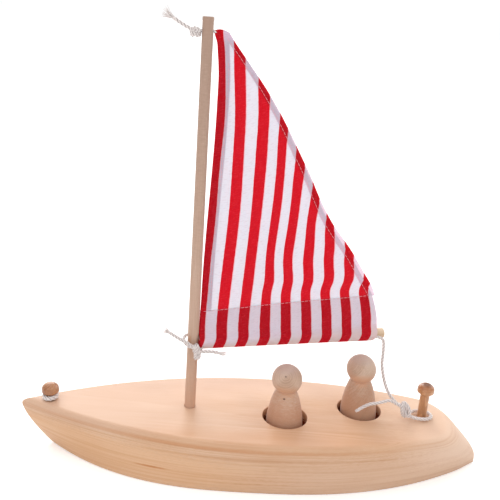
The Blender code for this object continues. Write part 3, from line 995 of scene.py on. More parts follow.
@dataclass(frozen=True)
class CottonTwine:
    """Undyed cotton: pale strands with slanting fibres, and painted shade in their hollows.

    The map holds the slanted distance along a strand, and how far out of the
    string a place stands: 1 on its outside, less in the hollows.
    """

    pale: Tone = (240, 232, 229)
    shade: Tone = (210, 198, 196)
    hollow_shade: Tone = (134, 120, 122)

    def material(self) -> Finish:
        """Build the twine's material.

        Returns:
            The undyed cotton.
        """
        material, g, shader = begin_material("cotton_twine", 0.9)
        along, out, _ = g.parts(g.cloth_map())
        fibre = g.noise_along(g.times(along, 3.2))
        fuzz = g.noise(g.stretch(g.place(), (1.3, 1.3, 1.3)), 3.0, 0.6)
        share = g.plus(g.times(g.rise(fibre, 0.4, 0.7), 0.5), g.times(g.rise(fuzz, 0.45, 0.75), 0.4))
        colour = g.mix(share, linear(self.pale), linear(self.shade))
        # painted shade: the string darkens towards the hollows between its strands
        g.feed(shader.inputs["Base Color"], g.mix(g.rise(out, 0.9, 0.45), colour, linear(self.hollow_shade)))
        set_plain(shader, {"Sheen Weight": 0.2, "Specular IOR Level": 0.15})
        rough_surface(g, shader, fibre, 0.7, 0.12)
        return material


@dataclass(frozen=True)
class SewingThread:
    """Pale twisted polyester thread."""

    tone: Tone = (240, 182, 192)
    groove_shade: Tone = (206, 150, 164)

    def material(self) -> Finish:
        """Build the thread's material, with a fine twist along each stitch.

        Returns:
            The twisted thread.
        """
        material, g, shader = begin_material("sewing_thread", 0.55)
        along, out, _ = g.parts(g.cloth_map())
        slant = g.scaled(along, 16.0, g.times(out, FULL_TURN))
        twist = g.scaled(g.maths("SINE", slant), 0.5, 0.5)
        # painted shade in the grooves of the thread's twist
        colour = g.mix(g.times(twist, 0.3), linear(self.tone), linear(self.groove_shade))
        g.feed(shader.inputs["Base Color"], colour)
        rough_surface(g, shader, twist, 0.5, 0.05)
        return material


@dataclass(frozen=True)
class PaperFloor:
    """Seamless white studio paper."""

    tone: Tone = (246, 246, 246)
    mottle: Tone = (240, 240, 240)
    lift: float = 0.34

    def material(self) -> Finish:
        """Build the paper's material: the faintest mottle, lifted a little for the camera.

        Returns:
            The paper.
        """
        material, g, shader = begin_material("studio_paper", 0.9)
        place = g.add("ShaderNodeTexCoord").outputs["Object"]
        mottle = g.times(g.noise(g.stretch(place, (9.0, 9.0, 9.0))), 0.1)
        colour = g.mix(mottle, linear(self.tone), linear(self.mottle))
        g.feed(shader.inputs["Base Color"], colour)
        set_plain(shader, {"Specular IOR Level": 0.1, "Emission Color": (1.0, 1.0, 1.0, 1.0)})
        seen = g.add("ShaderNodeLightPath").outputs["Is Camera Ray"]
        g.feed(shader.inputs["Emission Strength"], g.times(seen, self.lift))
        return material


# -------------------------------------------------------------------- studio


@dataclass(frozen=True)
class Lamp:
    """One far, wide lamp, given by where it stands and how broad it looks."""

    name: str
    bearing: float
    height: float
    breadth: float
    strength: float
    tone: Tone = (255, 255, 255)


@dataclass
class Studio:
    """The camera, lamps, surround and paper floor."""

    eye: Point = (-25.54, -364.88, 257.95)
    yaw: float = 2.39
    pitch: float = 18.75
    roll: float = 4.24
    lens: float = 48.96
    sensor: float = 36.0
    floor_radius: float = 40000.0
    surround: float = 0.62
    lamps: tuple[Lamp, ...] = (
        Lamp("behind", 104.0, 27.0, 40.0, 1.24),
        Lamp("astern", 34.0, 30.0, 44.0, 0.66),
        Lamp("above", 130.0, 66.0, 50.0, 0.7),
        Lamp("front_left", -122.0, 38.0, 50.0, 0.5),
        Lamp("right", -35.0, 50.0, 14.0, 0.3, (255, 250, 244)),
    )

    def camera(self) -> None:
        """Stand the camera at the boat's port side.

        Its forward line is turned by yaw towards the stern and dipped by pitch,
        and its upright is then rolled about that line.
        """
        yaw, pitch, roll = (math.radians(a) for a in (self.yaw, self.pitch, self.roll))
        dip = math.cos(pitch)
        ahead = Vector((math.sin(yaw) * dip, math.cos(yaw) * dip, -math.sin(pitch)))
        level = Vector((math.cos(yaw), -math.sin(yaw), 0.0))
        upright = level.cross(ahead)
        right = level * math.cos(roll) + upright * math.sin(roll)
        top = upright * math.cos(roll) - level * math.sin(roll)
        data = bpy.data.cameras.new("camera")
        data.lens = self.lens
        data.sensor_width = self.sensor
        camera = bpy.data.objects.new("camera", data)
        turn = Matrix((right, top, -ahead)).transposed().to_4x4()
        camera.matrix_world = Matrix.Translation(Vector(self.eye) * MM) @ turn
        bpy.context.scene.collection.objects.link(camera)
        bpy.context.scene.camera = camera

    def light(self) -> None:
        """Hang the lamps and set an even pale surround."""
        for lamp in self.lamps:
            data = bpy.data.lights.new(lamp.name, "SUN")
            data.angle = math.radians(lamp.breadth)
            data.energy = lamp.strength
            data.color = linear(lamp.tone)[:3]
            shown = bpy.data.objects.new(lamp.name, data)
            turn, rise = math.radians(lamp.bearing), math.radians(lamp.height)
            level = math.cos(rise)
            where = Vector((math.cos(turn) * level, math.sin(turn) * level, math.sin(rise)))
            shown.matrix_world = where.to_track_quat("Z", "Y").to_matrix().to_4x4()
            bpy.context.scene.collection.objects.link(shown)
        world = bpy.data.worlds.new("surround")
        world.use_nodes = True
        g = Graph(world.node_tree)
        back = world.node_tree.nodes["Background"]
        back.inputs["Color"].default_value = (1.0, 1.0, 1.0, 1.0)
        seen = g.add("ShaderNodeLightPath").outputs["Is Camera Ray"]
        g.feed(back.inputs["Strength"], g.scaled(seen, 1.02 - self.surround, self.surround))
        bpy.context.scene.world = world
        bpy.context.scene.view_settings.view_transform = "Standard"

    def floor(self) -> None:
        """Lay the paper: a round sheet of rings that widen outwards."""
        ring = np.linspace(0.02, 1.0, 24)[:, None] ** 3 * self.floor_radius
        angle = round_steps(96)[None, :]
        places = np.stack([ring * np.cos(angle), ring * np.sin(angle), 0.0 * ring * angle], axis=-1)
        skin = Skin()
        skin.grid(places, across=True)
        skin.fan(places[0], 0, False)
        paper = skin.build("studio_paper", PaperFloor().material())
        paper.data.flip_normals()

    def set_up(self) -> None:
        """Make the whole studio."""
        self.camera()
        self.light()
        self.floor()
        log.info("studio: camera, %d lamps, paper floor", len(self.lamps))


# --------------------------------------------------------------------- twine


@dataclass(frozen=True)
class Twine:
    """Three-strand cotton string.

    A strand's middle circles the string's own middle at a fixed distance, one
    turn each pitch, with the strands a third of a turn apart.
    """

    radius: float = 1.0
    strand: float = 0.49
    circle: float = 0.54
    pitch: float = 6.6
    step: float = 0.42
    sides: int = 10
    knot_turns: tuple[int, int] = (2, 3)
    fibre_slant: float = 0.9
    dome_width: float = 0.45
    dome_reach: float = 0.6
    yarn_radius: float = 0.2
    yarn_root: float = 0.8

    def strands(
        self, skin: Skin, route: Array, reference: Array | Point, swell: Array | float = 1.0
    ) -> None:
        """Add the three strands along a route.

        Args:
            skin: the surface to add to.
            route: evenly spaced points along the string's middle.
            reference: a direction, or one per point, that the string doesn't follow.
            swell: how much fuller the string is, at each point.
        """
        arc = arc_length(route)
        along = unit(np.gradient(route, axis=0))
        side = square_to(np.broadcast_to(np.asarray(reference, float), route.shape), along)
        other = np.cross(along, side)
        full = np.broadcast_to(np.asarray(swell, float), arc.shape)
        for third in range(3):
            turn = FULL_TURN * (third / 3.0 + arc / self.pitch)
            reach = (self.circle * full)[:, None]
            middle = route + reach * (np.cos(turn)[:, None] * side + np.sin(turn)[:, None] * other)
            self.yarn(skin, middle, self.strand * full, side, route)

    def yarn(
        self, skin: Skin, middle: Array, radius: Array, side: Array, core: Array | None = None
    ) -> None:
        """Add one round strand with domed ends.

        Its map holds the distance along it, plus a share of the turn round it
        so that fibres slant, and how far out of the string each point stands.

        Args:
            skin: the surface to add to.
            middle: points down the strand's middle.
            radius: its radius at each point.
            side: a direction across it at each point.
            core: the middle of the string it belongs to, if any.
        """
        along = unit(np.gradient(middle, axis=0))
        first = square_to(side, along)
        second = np.cross(along, first)
        angle = round_steps(self.sides)[None, :, None]
        spoke = np.cos(angle) * first[:, None] + np.sin(angle) * second[:, None]
        thick = radius[:, None, None]
        rings = middle[:, None] + spoke * thick
        dome = rings[[0, -1]] * self.dome_width + middle[[0, -1], None] * (1.0 - self.dome_width)
        dome[0] -= along[0] * radius[0] * self.dome_reach
        dome[1] += along[-1] * radius[-1] * self.dome_reach
        rings = np.concatenate([dome[:1], rings, dome[1:]])
        arc = arc_length(middle)
        slant = np.linspace(0.0, self.fibre_slant, self.sides, endpoint=False)
        out = np.ones(rings.shape[:2])
        if core is not None:
            spine = np.concatenate([core[:1], core, core[-1:]])
            out = np.linalg.norm(rings - spine[:, None], axis=-1) / (self.circle + self.strand)
        uv = np.stack([np.r_[arc[0], arc, arc[-1]][:, None] + slant[None, :], out], axis=-1)
        skin.tube(rings, uv)

    def frayed(
        self, skin: Skin, tip: Array, heading: Array, yarns: int, length: float, spread: float
    ) -> None:
        """Fan loose yarns out of a cut end.

        Each yarn starts at a golden-angle place on the end's face, runs along
        the heading, and leaves it with the square of the distance gone.

        Args:
            skin: the surface to add to.
            tip: the string's last point.
            heading: the direction it ends in.
            yarns: how many yarns, which also picks their small differences.
            length: how far they reach.
            spread: how far the outer ones stray sideways.
        """
        dice = np.random.default_rng(yarns)
        ahead = unit(np.asarray(heading, float))
        across = unit(np.cross(ahead, (0.13, 0.4, 0.9)))
        upright = np.cross(ahead, across)
        for k in range(yarns):
            turn = k * GOLDEN_ANGLE
            reach = math.sqrt((k + 0.5) / yarns)
            out = math.cos(turn) * across + math.sin(turn) * upright
            t = np.linspace(0.0, 1.0, 9)[:, None]
            far = length * (1.0 - 0.35 * dice.random())
            stray = spread * reach * (0.6 + 0.8 * dice.random())
            curl = 0.25 * spread * np.sin(3.0 * t + 6.0 * dice.random()) * t * np.cross(ahead, out)
            root = tip - ahead * self.yarn_root + out * reach * self.radius * 0.6
            middle = root + ahead * (far + self.yarn_root) * t + out * stray * t**2 + curl
            thin = self.yarn_radius * (1.0 - 0.55 * t[:, 0])
            self.yarn(skin, middle, thin, np.broadcast_to(out, middle.shape))

    def knot_route(self, centre: Point, half: Point, lie: Point, spin: float) -> tuple[Array, Array]:
        """Wrap a string over itself into a lump, as an overhand knot does.

        The string goes twice round the lump's long axis while it weaves three
        times along it, in and out with the cosine of the same three turns.

        Args:
            centre: the lump's middle.
            half: its half sizes, the long one last.
            lie: the direction of its long axis.
            spin: the turn about that axis in degrees.

        Returns:
            The route, and the outward direction at each of its points.
        """
        t = np.linspace(0.0, FULL_TURN, 400)
        rounds, weaves = (times * t for times in self.knot_turns)
        rounds = rounds + math.radians(spin)
        inner = min(half[0], half[1]) - self.radius
        dip = 0.34 * inner
        reach = inner - dip + dip * np.cos(weaves)
        rise = (half[2] - self.radius) * np.sin(weaves)
        reach = reach * np.sqrt(np.clip(1.0 - 0.55 * (rise / half[2]) ** 2, 0.1, 1.0))
        across = reach * half[1] / half[0] * np.sin(rounds)
        turn = np.array(Vector((0.0, 0.0, 1.0)).rotation_difference(Vector(lie).normalized()).to_matrix())
        route = respaced(np.stack([reach * np.cos(rounds), across, rise], axis=1), self.step)
        out = unit(route * (1.0, 1.0, 0.35)) @ turn.T
        return route @ turn.T + np.asarray(centre, float), out


@dataclass
class Cordage:
    """Every string on the boat, along the routes that the frame's cords take."""

    twine: Twine = Twine()
    diameter: float = 2.0
    slot: str = "cotton_cord"
    material: Finish | None = None

    def string(
        self, name: str, points: Sequence[Point], reference: Point, swell: float = 1.0
    ) -> tuple[Piece, Array]:
        """Make one string along a route.

        Args:
            name: the piece's name.
            points: the route's own points.
            reference: a direction that the string doesn't follow.
            swell: how much fuller its strands are.

        Returns:
            The piece, and the route in metres.
        """
        route = smooth_route(points, self.twine.step)
        skin = Skin()
        self.twine.strands(skin, route, reference, swell)
        return skin.build(name, self.material), route * MM

    def knot(self, name: str, centre: Point, half: Point, lie: Point, spin: float) -> Piece:
        """Make a knot's lump as a piece of its own.

        Args:
            name: the piece's name.
            centre: the lump's middle.
            half: its half sizes, the long one last.
            lie: the direction of its long axis.
            spin: the turn about that axis in degrees.

        Returns:
            The knot.
        """
        skin = Skin()
        self.twine.strands(skin, *self.twine.knot_route(centre, half, lie, spin))
        return skin.build(name, self.material)

    def loose_end(self, name: str, route: Array, yarns: int, length: float, spread: float) -> Piece:
        """Fray the end of a route, as a piece of its own.

        Args:
            name: the piece's name.
            route: the string's route in metres.
            yarns: how many yarns come loose.
            length: how far they reach.
            spread: how far the outer ones stray sideways.

        Returns:
            The yarns.
        """
        skin = Skin()
        tip = route[-1] / MM
        self.twine.frayed(skin, tip, tip - route[-4] / MM, yarns, length, spread)
        return skin.build(name, self.material)

    def sheet(self) -> None:
        """Lead the sheet from the boom to its knot, round the stern peg, with a loose end."""
        line, route = self.string(
            "sheet_line_twine",
            (
                (72.0, 20.9, 74.9), (74.6, 20.8, 74.4), (76.8, 20.6, 73.8), (78.4, 20.4, 72.6),
                (79.0, 20.2, 70.6), (79.2, 19.4, 67.3), (79.0, 17.6, 62.6), (78.6, 15.6, 58.8),
                (79.0, 13.2, 55.0), (79.8, 10.6, 50.9), (81.0, 7.6, 47.1), (82.6, 4.4, 44.2),
                (84.8, 1.2, 42.0), (87.6, -1.8, 40.2),
            ),
            (1.0, 0.3, 0.0),
        )
        knot = self.knot("sheet_knot_twine", (91.3, -4.2, 38.3), (4.1, 3.9, 5.3), (0.5, -0.2, -0.85), 40.0)
        loop, loop_route = self.string(
            "sheet_peg_loop_twine",
            (
                (93.4, -4.6, 35.6), (96.0, -4.9, 34.0), (99.2, -5.2, 33.3), (103.4, -5.3, 33.0),
                (107.3, -4.2, 33.0), (109.4, -1.0, 32.9), (108.6, 2.6, 32.8), (105.4, 4.5, 32.7),
                (101.4, 4.3, 32.8), (98.2, 2.2, 33.4), (96.0, -0.8, 34.6), (93.4, -3.4, 36.2),
            ),
            (0.0, 0.0, 1.0),
            1.1,
        )
        tail, tail_route = self.string(
            "sheet_tail_twine",
            (
                (90.0, -4.6, 39.2), (87.8, -4.8, 41.2), (84.6, -4.8, 43.0), (80.8, -5.4, 44.8),
                (77.2, -5.9, 44.2), (73.4, -6.6, 43.4), (68.6, -7.5, 42.9), (64.2, -8.2, 40.9),
                (60.9, -8.8, 38.7),
            ),
            (0.0, 1.0, 0.2),
        )
        end = self.loose_end("sheet_tail_end", tail_route, 11, 1.0, 0.25)
        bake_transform(line)
        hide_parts("sheet_line")
        for piece, node in ((knot, "sheet_knot"), (loop, "sheet_peg_loop"), (tail, "sheet_tail")):
            settle(piece, Body.HULL, self.slot, node)
        settle(end, Body.HULL, self.slot)

    def tack(self) -> None:
        """Lash the boom's fore end round the mast, with a knot and two loose ends."""
        loop, route = self.string(
            "tack_loop_twine",
            (
                (-38.4, -5.6, 73.4), (-42.0, -4.6, 73.6), (-44.4, -3.5, 75.2), (-45.5, 0.0, 76.0),
                (-44.9, 3.2, 76.5), (-42.3, 5.2, 76.7), (-39.2, 5.4, 76.2), (-36.4, 4.6, 75.2),
                (-34.6, 1.2, 72.8), (-35.0, -3.0, 71.2), (-37.4, -5.4, 71.0),
            ),
            (0.0, 0.0, 1.0),
        )
        knot = self.knot("tack_knot_twine", (-37.5, -6.6, 71.3), (3.3, 2.7, 5.3), (-0.12, 0.0, 1.0), 20.0)
        fore, fore_route = self.string(
            "tack_tail_fore_twine",
            (
                (-38.2, -6.6, 73.6), (-41.3, -6.9, 75.6), (-44.1, -7.2, 77.6),
                (-47.3, -7.4, 79.3), (-53.6, -8.0, 83.5),
            ),
            (0.0, 1.0, 0.2),
        )
        aft, aft_route = self.string(
            "tack_tail_aft_twine",
            (
                (-37.4, -6.4, 71.4), (-35.1, -6.2, 71.3), (-31.6, -6.2, 71.6),
                (-27.6, -6.2, 71.6), (-24.6, -6.4, 71.3),
            ),
            (0.0, 1.0, 0.2),
        )
        ends = [
            self.loose_end("tack_tail_fore_end", fore_route, 26, 3.6, 1.5),
            self.loose_end("tack_tail_aft_end", aft_route, 14, 6.0, 1.6),
        ]
        nodes = ("tack_loop", "tack_knot", "tack_tail_fore", "tack_tail_aft")
        for piece, node in zip((loop, knot, fore, aft), nodes):
            settle(piece, Body.SAIL, self.slot, node)
        for end in ends:
            settle(end, Body.SAIL, self.slot)

    def head(self) -> None:
        """Tie the sail's head through the mast, with a stopper knot and a loose end."""
        cord, route = self.string(
            "head_cord_twine",
            (
                (-34.0, 2.9, 249.2), (-35.4, 1.9, 250.1), (-37.0, 0.5, 250.5), (-39.0, 0.1, 250.5),
                (-43.4, 0.0, 250.4), (-45.4, 0.9, 249.4), (-47.2, 0.2, 250.8), (-45.6, -1.6, 250.8),
                (-45.8, -1.9, 249.2), (-47.4, -1.4, 249.8), (-48.6, -1.4, 250.9),
                (-51.2, -2.0, 252.2), (-54.6, -2.8, 254.0), (-57.2, -3.4, 255.6),
            ),
            (0.0, 1.0, 0.3),
        )
        end = self.loose_end("head_cord_end", route, 34, 6.6, 2.9)
        knot = self.knot("head_knot_twine", (-46.3, -0.6, 249.5), (3.3, 3.1, 3.1), (1.0, 0.0, 0.15), 70.0)
        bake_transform(cord)
        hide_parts("head_strop", "head_tail")
        settle(knot, Body.HULL, self.slot, "head_knot")
        settle(end, Body.HULL, self.slot)

    def bow_ring(self) -> None:
        """Wind the string twice round the bow peg.

        The route is a helix: its radius is fixed, and it climbs one string's
        thickness each turn.
        """
        low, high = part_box("bow_peg_ring")
        middle = middle_of("bow_peg_ring")[0]
        radius = 0.5 * (high.x - low.x) / MM - self.twine.radius
        t = np.linspace(0.0, 1.0, 240)
        turn = FULL_TURN * (2.0 * t + 0.3)
        height = low.z / MM + self.twine.radius + (high.z - low.z) / MM * 0.5 * t
        route = np.stack([middle + radius * np.cos(turn), radius * np.sin(turn), height], axis=1)
        route = respaced(route, self.twine.step)
        out = route - np.array([middle, 0.0, 0.0])
        skin = Skin()
        self.twine.strands(skin, route, out * (1.0, 1.0, 0.0))
        ring = skin.build("bow_peg_ring_twine", self.material)
        settle(ring, Body.HULL, self.slot, "bow_peg_ring")

    def build(self) -> None:
        """Make every string."""
        self.material = CottonTwine().material()
        self.sheet()
        self.tack()
        self.head()
        self.bow_ring()


# ---------------------------------------------------------------------- hull


@dataclass
class Hull:
    """The shaped timber hull with its sockets and seats."""

    thick: float = 31.0
    bow_x: float = -142.2
    stern_x: float = 142.2
    widest_x: float = 8.2
    half_beam: float = 40.2
    deck_powers: tuple[float, float] = (2.1, 2.2)
    deck_aft_tip_x: float = 161.2
    bottom_fore_tip_x: float = -124.2
    bottom_aft_tip_x: float = 143.2
    bottom_powers: tuple[float, float] = (2.95, 2.3)
    flare_power: float = 1.4
    deck_round: float = 4.0
    bottom_round: float = 1.0
    transom_top_x: float = 121.0
    transom_softness: float = 3.0
    transom_corner: float = 16.0
    transom_corner_power: float = 2.5
    outline_points: int = 190
    clearance: float = 4.0
    chamfer: float = 0.5
    bores: tuple[tuple[float, float, float, float, float], ...] = (
        (-40.1, 0.0, 3.475, 20.0, 0.12), (-124.8, 0.0, 3.1, 14.0, 0.12),
        (103.7, 0.0, 3.1, 14.0, 0.12), (18.1, -6.3, 13.6, 12.5, 0.6), (65.8, 6.6, 13.6, 10.3, 0.6),
    )

    def leaf(self, x: Array, level: float) -> Array:
        """Half breadth at a station: one minus a power of the way to each tip.

        Args:
            x: the stations.
            level: 0 at the deck and 1 at the bottom.

        Returns:
            The half breadth at each station.
        """
        fore_tip = self.bow_x + (self.bottom_fore_tip_x - self.bow_x) * level
        aft_tip = self.deck_aft_tip_x + (self.bottom_aft_tip_x - self.deck_aft_tip_x) * level
        powers = [a + (b - a) * level for a, b in zip(self.deck_powers, self.bottom_powers)]
        fore = np.clip((self.widest_x - x) / (self.widest_x - fore_tip), 0.0, 1.0)
        aft = np.clip((x - self.widest_x) / (aft_tip - self.widest_x), 0.0, 1.0)
        return self.half_beam * (1.0 - fore ** powers[0]) * (1.0 - aft ** powers[1])

    def stern_end(self, depth: float) -> float:
        """Find the outline's aft end: a 45 degree face that turns down near the bottom.

        Args:
            depth: how far below the deck.

        Returns:
            The end's place along the hull.
        """
        k = self.transom_softness
        ends = np.array([self.transom_top_x + depth, self.stern_x])
        return float(-k * np.log(np.exp(-(ends - ends.min()) / k).sum()) + ends.min())

    def outline(self, depth: float, inset: float) -> Array:
        """Closed outline at a depth below the deck, moved inward.

        The sides follow the leaf, and the corners to the stern face follow a
        rounded square: sine and cosine raised to two over the corner's power.

        Args:
            depth: how far below the deck.
            inset: how far the outline is moved inward.

        Returns:
            The outline's x and y, from the bow along starboard and back.
        """
        level = max(0.0, (depth - self.deck_round) / (self.thick - self.deck_round)) ** self.flare_power
        tip = self.bow_x + (self.bottom_fore_tip_x - self.bow_x) * level
        end = self.stern_end(depth)
        shoulder = end - self.transom_corner
        x_side = tip + (shoulder - tip) * np.linspace(0.0, 1.0, 900) ** 1.3
        turn = np.linspace(0.0, QUARTER_TURN, 300)[1:]
        power = 2.0 / self.transom_corner_power
        x_turn = shoulder + self.transom_corner * np.sin(turn) ** power
        y_turn = self.leaf(x_turn, level) * np.maximum(np.cos(turn), 0.0) ** power
        line = np.stack([np.r_[x_side, x_turn], np.r_[self.leaf(x_side, level), y_turn]], axis=1)
        along = unit(np.gradient(line, axis=0))
        normal = np.stack([-along[:, 1], along[:, 0]], axis=1)
        normal[-1] = (1.0, 0.0)
        line = line - inset * normal
        kept = line[line[:, 1] > 1e-6]
        slope = (kept[1] - kept[0]) / max(kept[1, 1] - kept[0, 1], 1e-9)
        kept = np.vstack([[kept[0, 0] - kept[0, 1] * slope[0], 0.0], kept, [end - inset, 0.0]])
        arc = arc_length(kept)
        pick = np.linspace(0.0, 1.0, self.outline_points)
        pick = arc[-1] * (0.75 * pick + 0.25 * (0.5 - 0.5 * np.cos(math.pi * pick)))
        half = np.stack([np.interp(pick, arc, kept[:, 0]), np.interp(pick, arc, kept[:, 1])], axis=1)
        return np.vstack([half, half[-2:0:-1] * (1.0, -1.0)])

    def skin(self) -> Skin:
        """Loft the hull from level outlines, closed by the deck and the bottom.

        Returns:
            The closed hull, without its holes.
        """
        angle = np.linspace(0.0, QUARTER_TURN, 9)
        deck = np.stack([1 - np.cos(angle), 1 - np.sin(angle)], axis=1) * self.deck_round
        side = np.linspace(self.deck_round + 1.5, self.thick - self.bottom_round, 17)
        low = np.stack([np.sin(angle[::2]), 1 - np.cos(angle[::2])], axis=1) * self.bottom_round
        low[:, 0] += self.thick - self.bottom_round
        levels = np.vstack([deck, np.stack([side, np.zeros_like(side)], axis=1), low[1:]])
        rings = []
        for depth, inset in levels:
            flat = self.outline(float(depth), float(inset))
            rings.append(np.column_stack([flat, np.full(len(flat), self.thick - depth)]))
        skin = Skin()
        skin.grid(np.array(rings), across=True)
        size = len(rings[0])
        star = np.arange(size // 2 + 1)
        port = (size - star) % size
        ladder = np.stack([star[1:], star[:-1], port[:-1], port[1:]], axis=1)
        rungs = [list(dict.fromkeys(rung)) for rung in ladder.tolist()]
        last = skin.count - size
        skin.faces += rungs
        skin.faces += [[corner + last for corner in rung[::-1]] for rung in rungs]
        return skin

    def cutter(self, x: float, y: float, radius: float, depth: float, rim: float) -> Piece:
        """Shape a cutter whose top flares out to ease the hole's rim.

        Args:
            x: the hole's place along the hull.
            y: its place across.
            radius: the hole's radius.
            depth: how deep it goes.
            rim: the radius of the eased rim.

        Returns:
            A closed cutter.
        """
        angle = np.linspace(0.0, QUARTER_TURN, 6)
        wide, high = radius + rim * (1.0 - np.cos(angle)), self.thick - rim + rim * np.sin(angle)
        flare = np.stack([wide, high], axis=1)
        floor, roof = self.thick - depth, self.thick + self.clearance
        above = np.array([[radius + rim, roof], [1e-3, roof]])
        below = np.array([[1e-3, floor], [radius - self.chamfer, floor], [radius, floor + self.chamfer]])
        flare[-1, 1] += 0.002
        steps = 128 if radius > self.chamfer * 10.0 else 56
        shape = turned(np.vstack([below, flare, above]), (x, y), steps)
        return shape.build(f"bore_{x:.0f}", bpy.data.materials.new("bore"))

    def build(self) -> None:
        """Make the hull and put it in place of the frame's one."""
        hull = self.skin().build("hull_timber", HULL_WOOD.material())
        flip_outward(hull)
        cutters = [self.cutter(*bore) for bore in self.bores]
        for cutter in cutters:
            flip_outward(cutter)
        bored(hull, cutters)
        keep_first_material(hull)
        settle(hull, Body.HULL, "hull_wood", "hull")


# ---------------------------------------------------------------- woodturning


@dataclass
class Spars:
    """The mast and the boom, both plain dowels with eased ends."""

    ease_radius: float = 0.5
    cap: float = 0.4
    hole_radius: float = 1.3
    hole_z: float = 250.5
    mast_proud: float = 0.5
    boom_radius: float = 3.175
    boom_run: tuple[float, float] = (8.0, 121.6)
    boom_z: float = 75.3

    def profile(self, radius: float, low: float, high: float) -> Array:
        """Draw a dowel's profile, its ends rounded over.

        Args:
            radius: the dowel's radius.
            low: where it starts.
            high: where it ends.

        Returns:
            Rows of radius and height.
        """
        e = self.ease_radius
        foot = fillet((radius - e, low), (radius, low + e), 0.2 * e)
        tip = fillet((radius, high - e), (radius - e, high), 0.2 * e)
        run = np.stack([np.full(40, radius), np.linspace(low + e, high - e, 40)], axis=1)[1:-1]
        return np.vstack([[[self.cap, low]], foot, run, tip, [[self.cap, high]]])

    def mast(self) -> None:
        """Stand the mast in its socket and drill its string hole."""
        low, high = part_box("mast")
        radius = 0.5 * (high.x - low.x) / MM
        middle = 0.5 * (high.x + low.x) / MM
        profile = self.profile(radius, low.z / MM, high.z / MM + self.mast_proud)
        profile[:, 0] *= 1.025 - 0.09 * ease(profile[:, 1], 50.0, 250.0)
        mast = turned(profile, (middle, 0.0), 72).build("mast_dowel", MAST_WOOD.material())
        bit = np.array([[0.05, -9.0], [self.hole_radius, -9.0], [self.hole_radius, 9.0], [0.05, 9.0]])
        drill = turned(bit, (0.0, 0.0), 32)
        hole = (middle, 0.0, self.hole_z)
        drill.points = [p[:, [2, 1, 0]] * (1.0, 1.0, -1.0) + hole for p in drill.points]
        cutter = drill.build("drill", bpy.data.materials.new("drill"))
        flip_outward(mast)
        flip_outward(cutter)
        bored(mast, [cutter])
        keep_first_material(mast)
        settle(mast, Body.HULL, "dowel_wood", "mast")

    def boom(self) -> None:
        """Lay the boom in the sail's sleeve."""
        skin = turned(self.profile(self.boom_radius, *self.boom_run), (0.0, 0.0), 56)
        skin.points = [on_sail(p[:, 2], p[:, 1], self.boom_z - p[:, 0]) for p in skin.points]
        boom = skin.build("boom_dowel", BOOM_WOOD.material())
        flip_outward(boom)
        settle(boom, Body.SAIL, "boom_wood", "boom")


@dataclass
class Peg:
    """A turned peg with a mushroom head over a small collar."""

    node: str
    wood: Timber
    shank: float = 2.8
    head: float = 5.1
    head_height: float = 6.05
    brim: float = 2.2
    dimple: float = 0.0
    dimple_width: float = 1.4
    proud: float = 0.0

    def build(self) -> None:
        """Turn the peg: shank, collar, the head's rim and its low crown."""
        low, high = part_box(self.node)
        foot, top = low.z / MM, high.z / MM + self.proud
        under = top - self.head_height
        r, h = self.shank, self.head
        crown = np.linspace(0.0, QUARTER_TURN, 16)
        rise = self.head_height - self.brim
        dome = np.stack([h * np.cos(crown), under + self.brim + rise * np.sin(crown)], axis=1)
        dome[:, 1] -= self.dimple * np.exp(-((dome[:, 0] / self.dimple_width) ** 2))
        profile = np.vstack(
            [
                [[0.3, foot], [r - 0.4, foot], [r, foot + 0.4], [r, foot + 6.0]],
                [[r, under - 2.2], [r, under - 1.5]],
                fillet((r + 0.1, under - 1.35), (r + 0.25, under - 0.1), 0.45, 7),
                fillet((r + 0.3, under), (h - 0.35, under + 0.25), 0.0, 4),
                fillet((h - 0.3, under + 0.3), (h, under + 0.9), 0.12, 5),
                [[h, under + 1.6]],
                dome[:-1],
                [[0.25, dome[-1, 1]]],
            ]
        )
        skin = turned(profile, (middle_of(self.node)[0], 0.0), 72)
        peg = skin.build(f"{self.node}_turned", self.wood.material())
        flip_outward(peg)
        settle(peg, Body.HULL, f"{self.node}_wood", self.node)


@dataclass
class Passenger:
    """A turned person: a ball head on a body that flares to its foot, no face."""

    node: str
    body: Body
    wood: Timber
    foot_shift: float = 0.0
    lean: float = 0.0
    head_radius: float = 9.05
    head_height: float = 37.4
    chin: float = -6.5
    neck: tuple[float, float] = (5.75, 30.5)
    bell: tuple[tuple[float, float], ...] = (
        (1.2, 11.25), (4.0, 11.25), (8.0, 11.2), (12.0, 10.9), (16.0, 10.3),
        (21.0, 9.3), (25.0, 8.2), (28.2, 7.0), (30.1, 6.0),
    )

    def build(self) -> None:
        """Turn the passenger.

        The body's radius falls from the foot as a bell that is steepest just
        under the neck, and the head is a ball whose lower end meets the neck.
        The passenger leans in its loose seat, by so much at the head's height.
        """
        x, y = middle_of(self.node)
        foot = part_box(self.node)[0].z / MM
        heights, radii = np.array(self.bell).T
        fine = np.linspace(heights[0], heights[-1], 60)
        fine_bell = np.stack([smooth_line(fine, heights, radii), fine], axis=1)
        ball = np.linspace(math.asin(self.chin / self.head_radius), QUARTER_TURN - 0.03, 48)
        head = np.stack([np.cos(ball), np.sin(ball)], axis=1) * self.head_radius + (0.0, self.head_height)
        base = fillet((radii[0] - 0.9, 0.0), (radii[0], 1.0), 0.25, 7)
        profile = np.vstack([[[0.5, 0.0]], base, fine_bell, [self.neck], head])
        profile[:, 1] += foot
        skin = turned(profile, (x + self.foot_shift, y), 96)
        sway = (self.lean, 0.0, 0.0)
        skin.points = [p + (p[:, 2:] - foot) / self.head_height * sway for p in skin.points]
        person = skin.build(f"{self.node}_turned", self.wood.material())
        flip_outward(person)
        settle(person, self.body, f"{self.node}_wood", self.node)


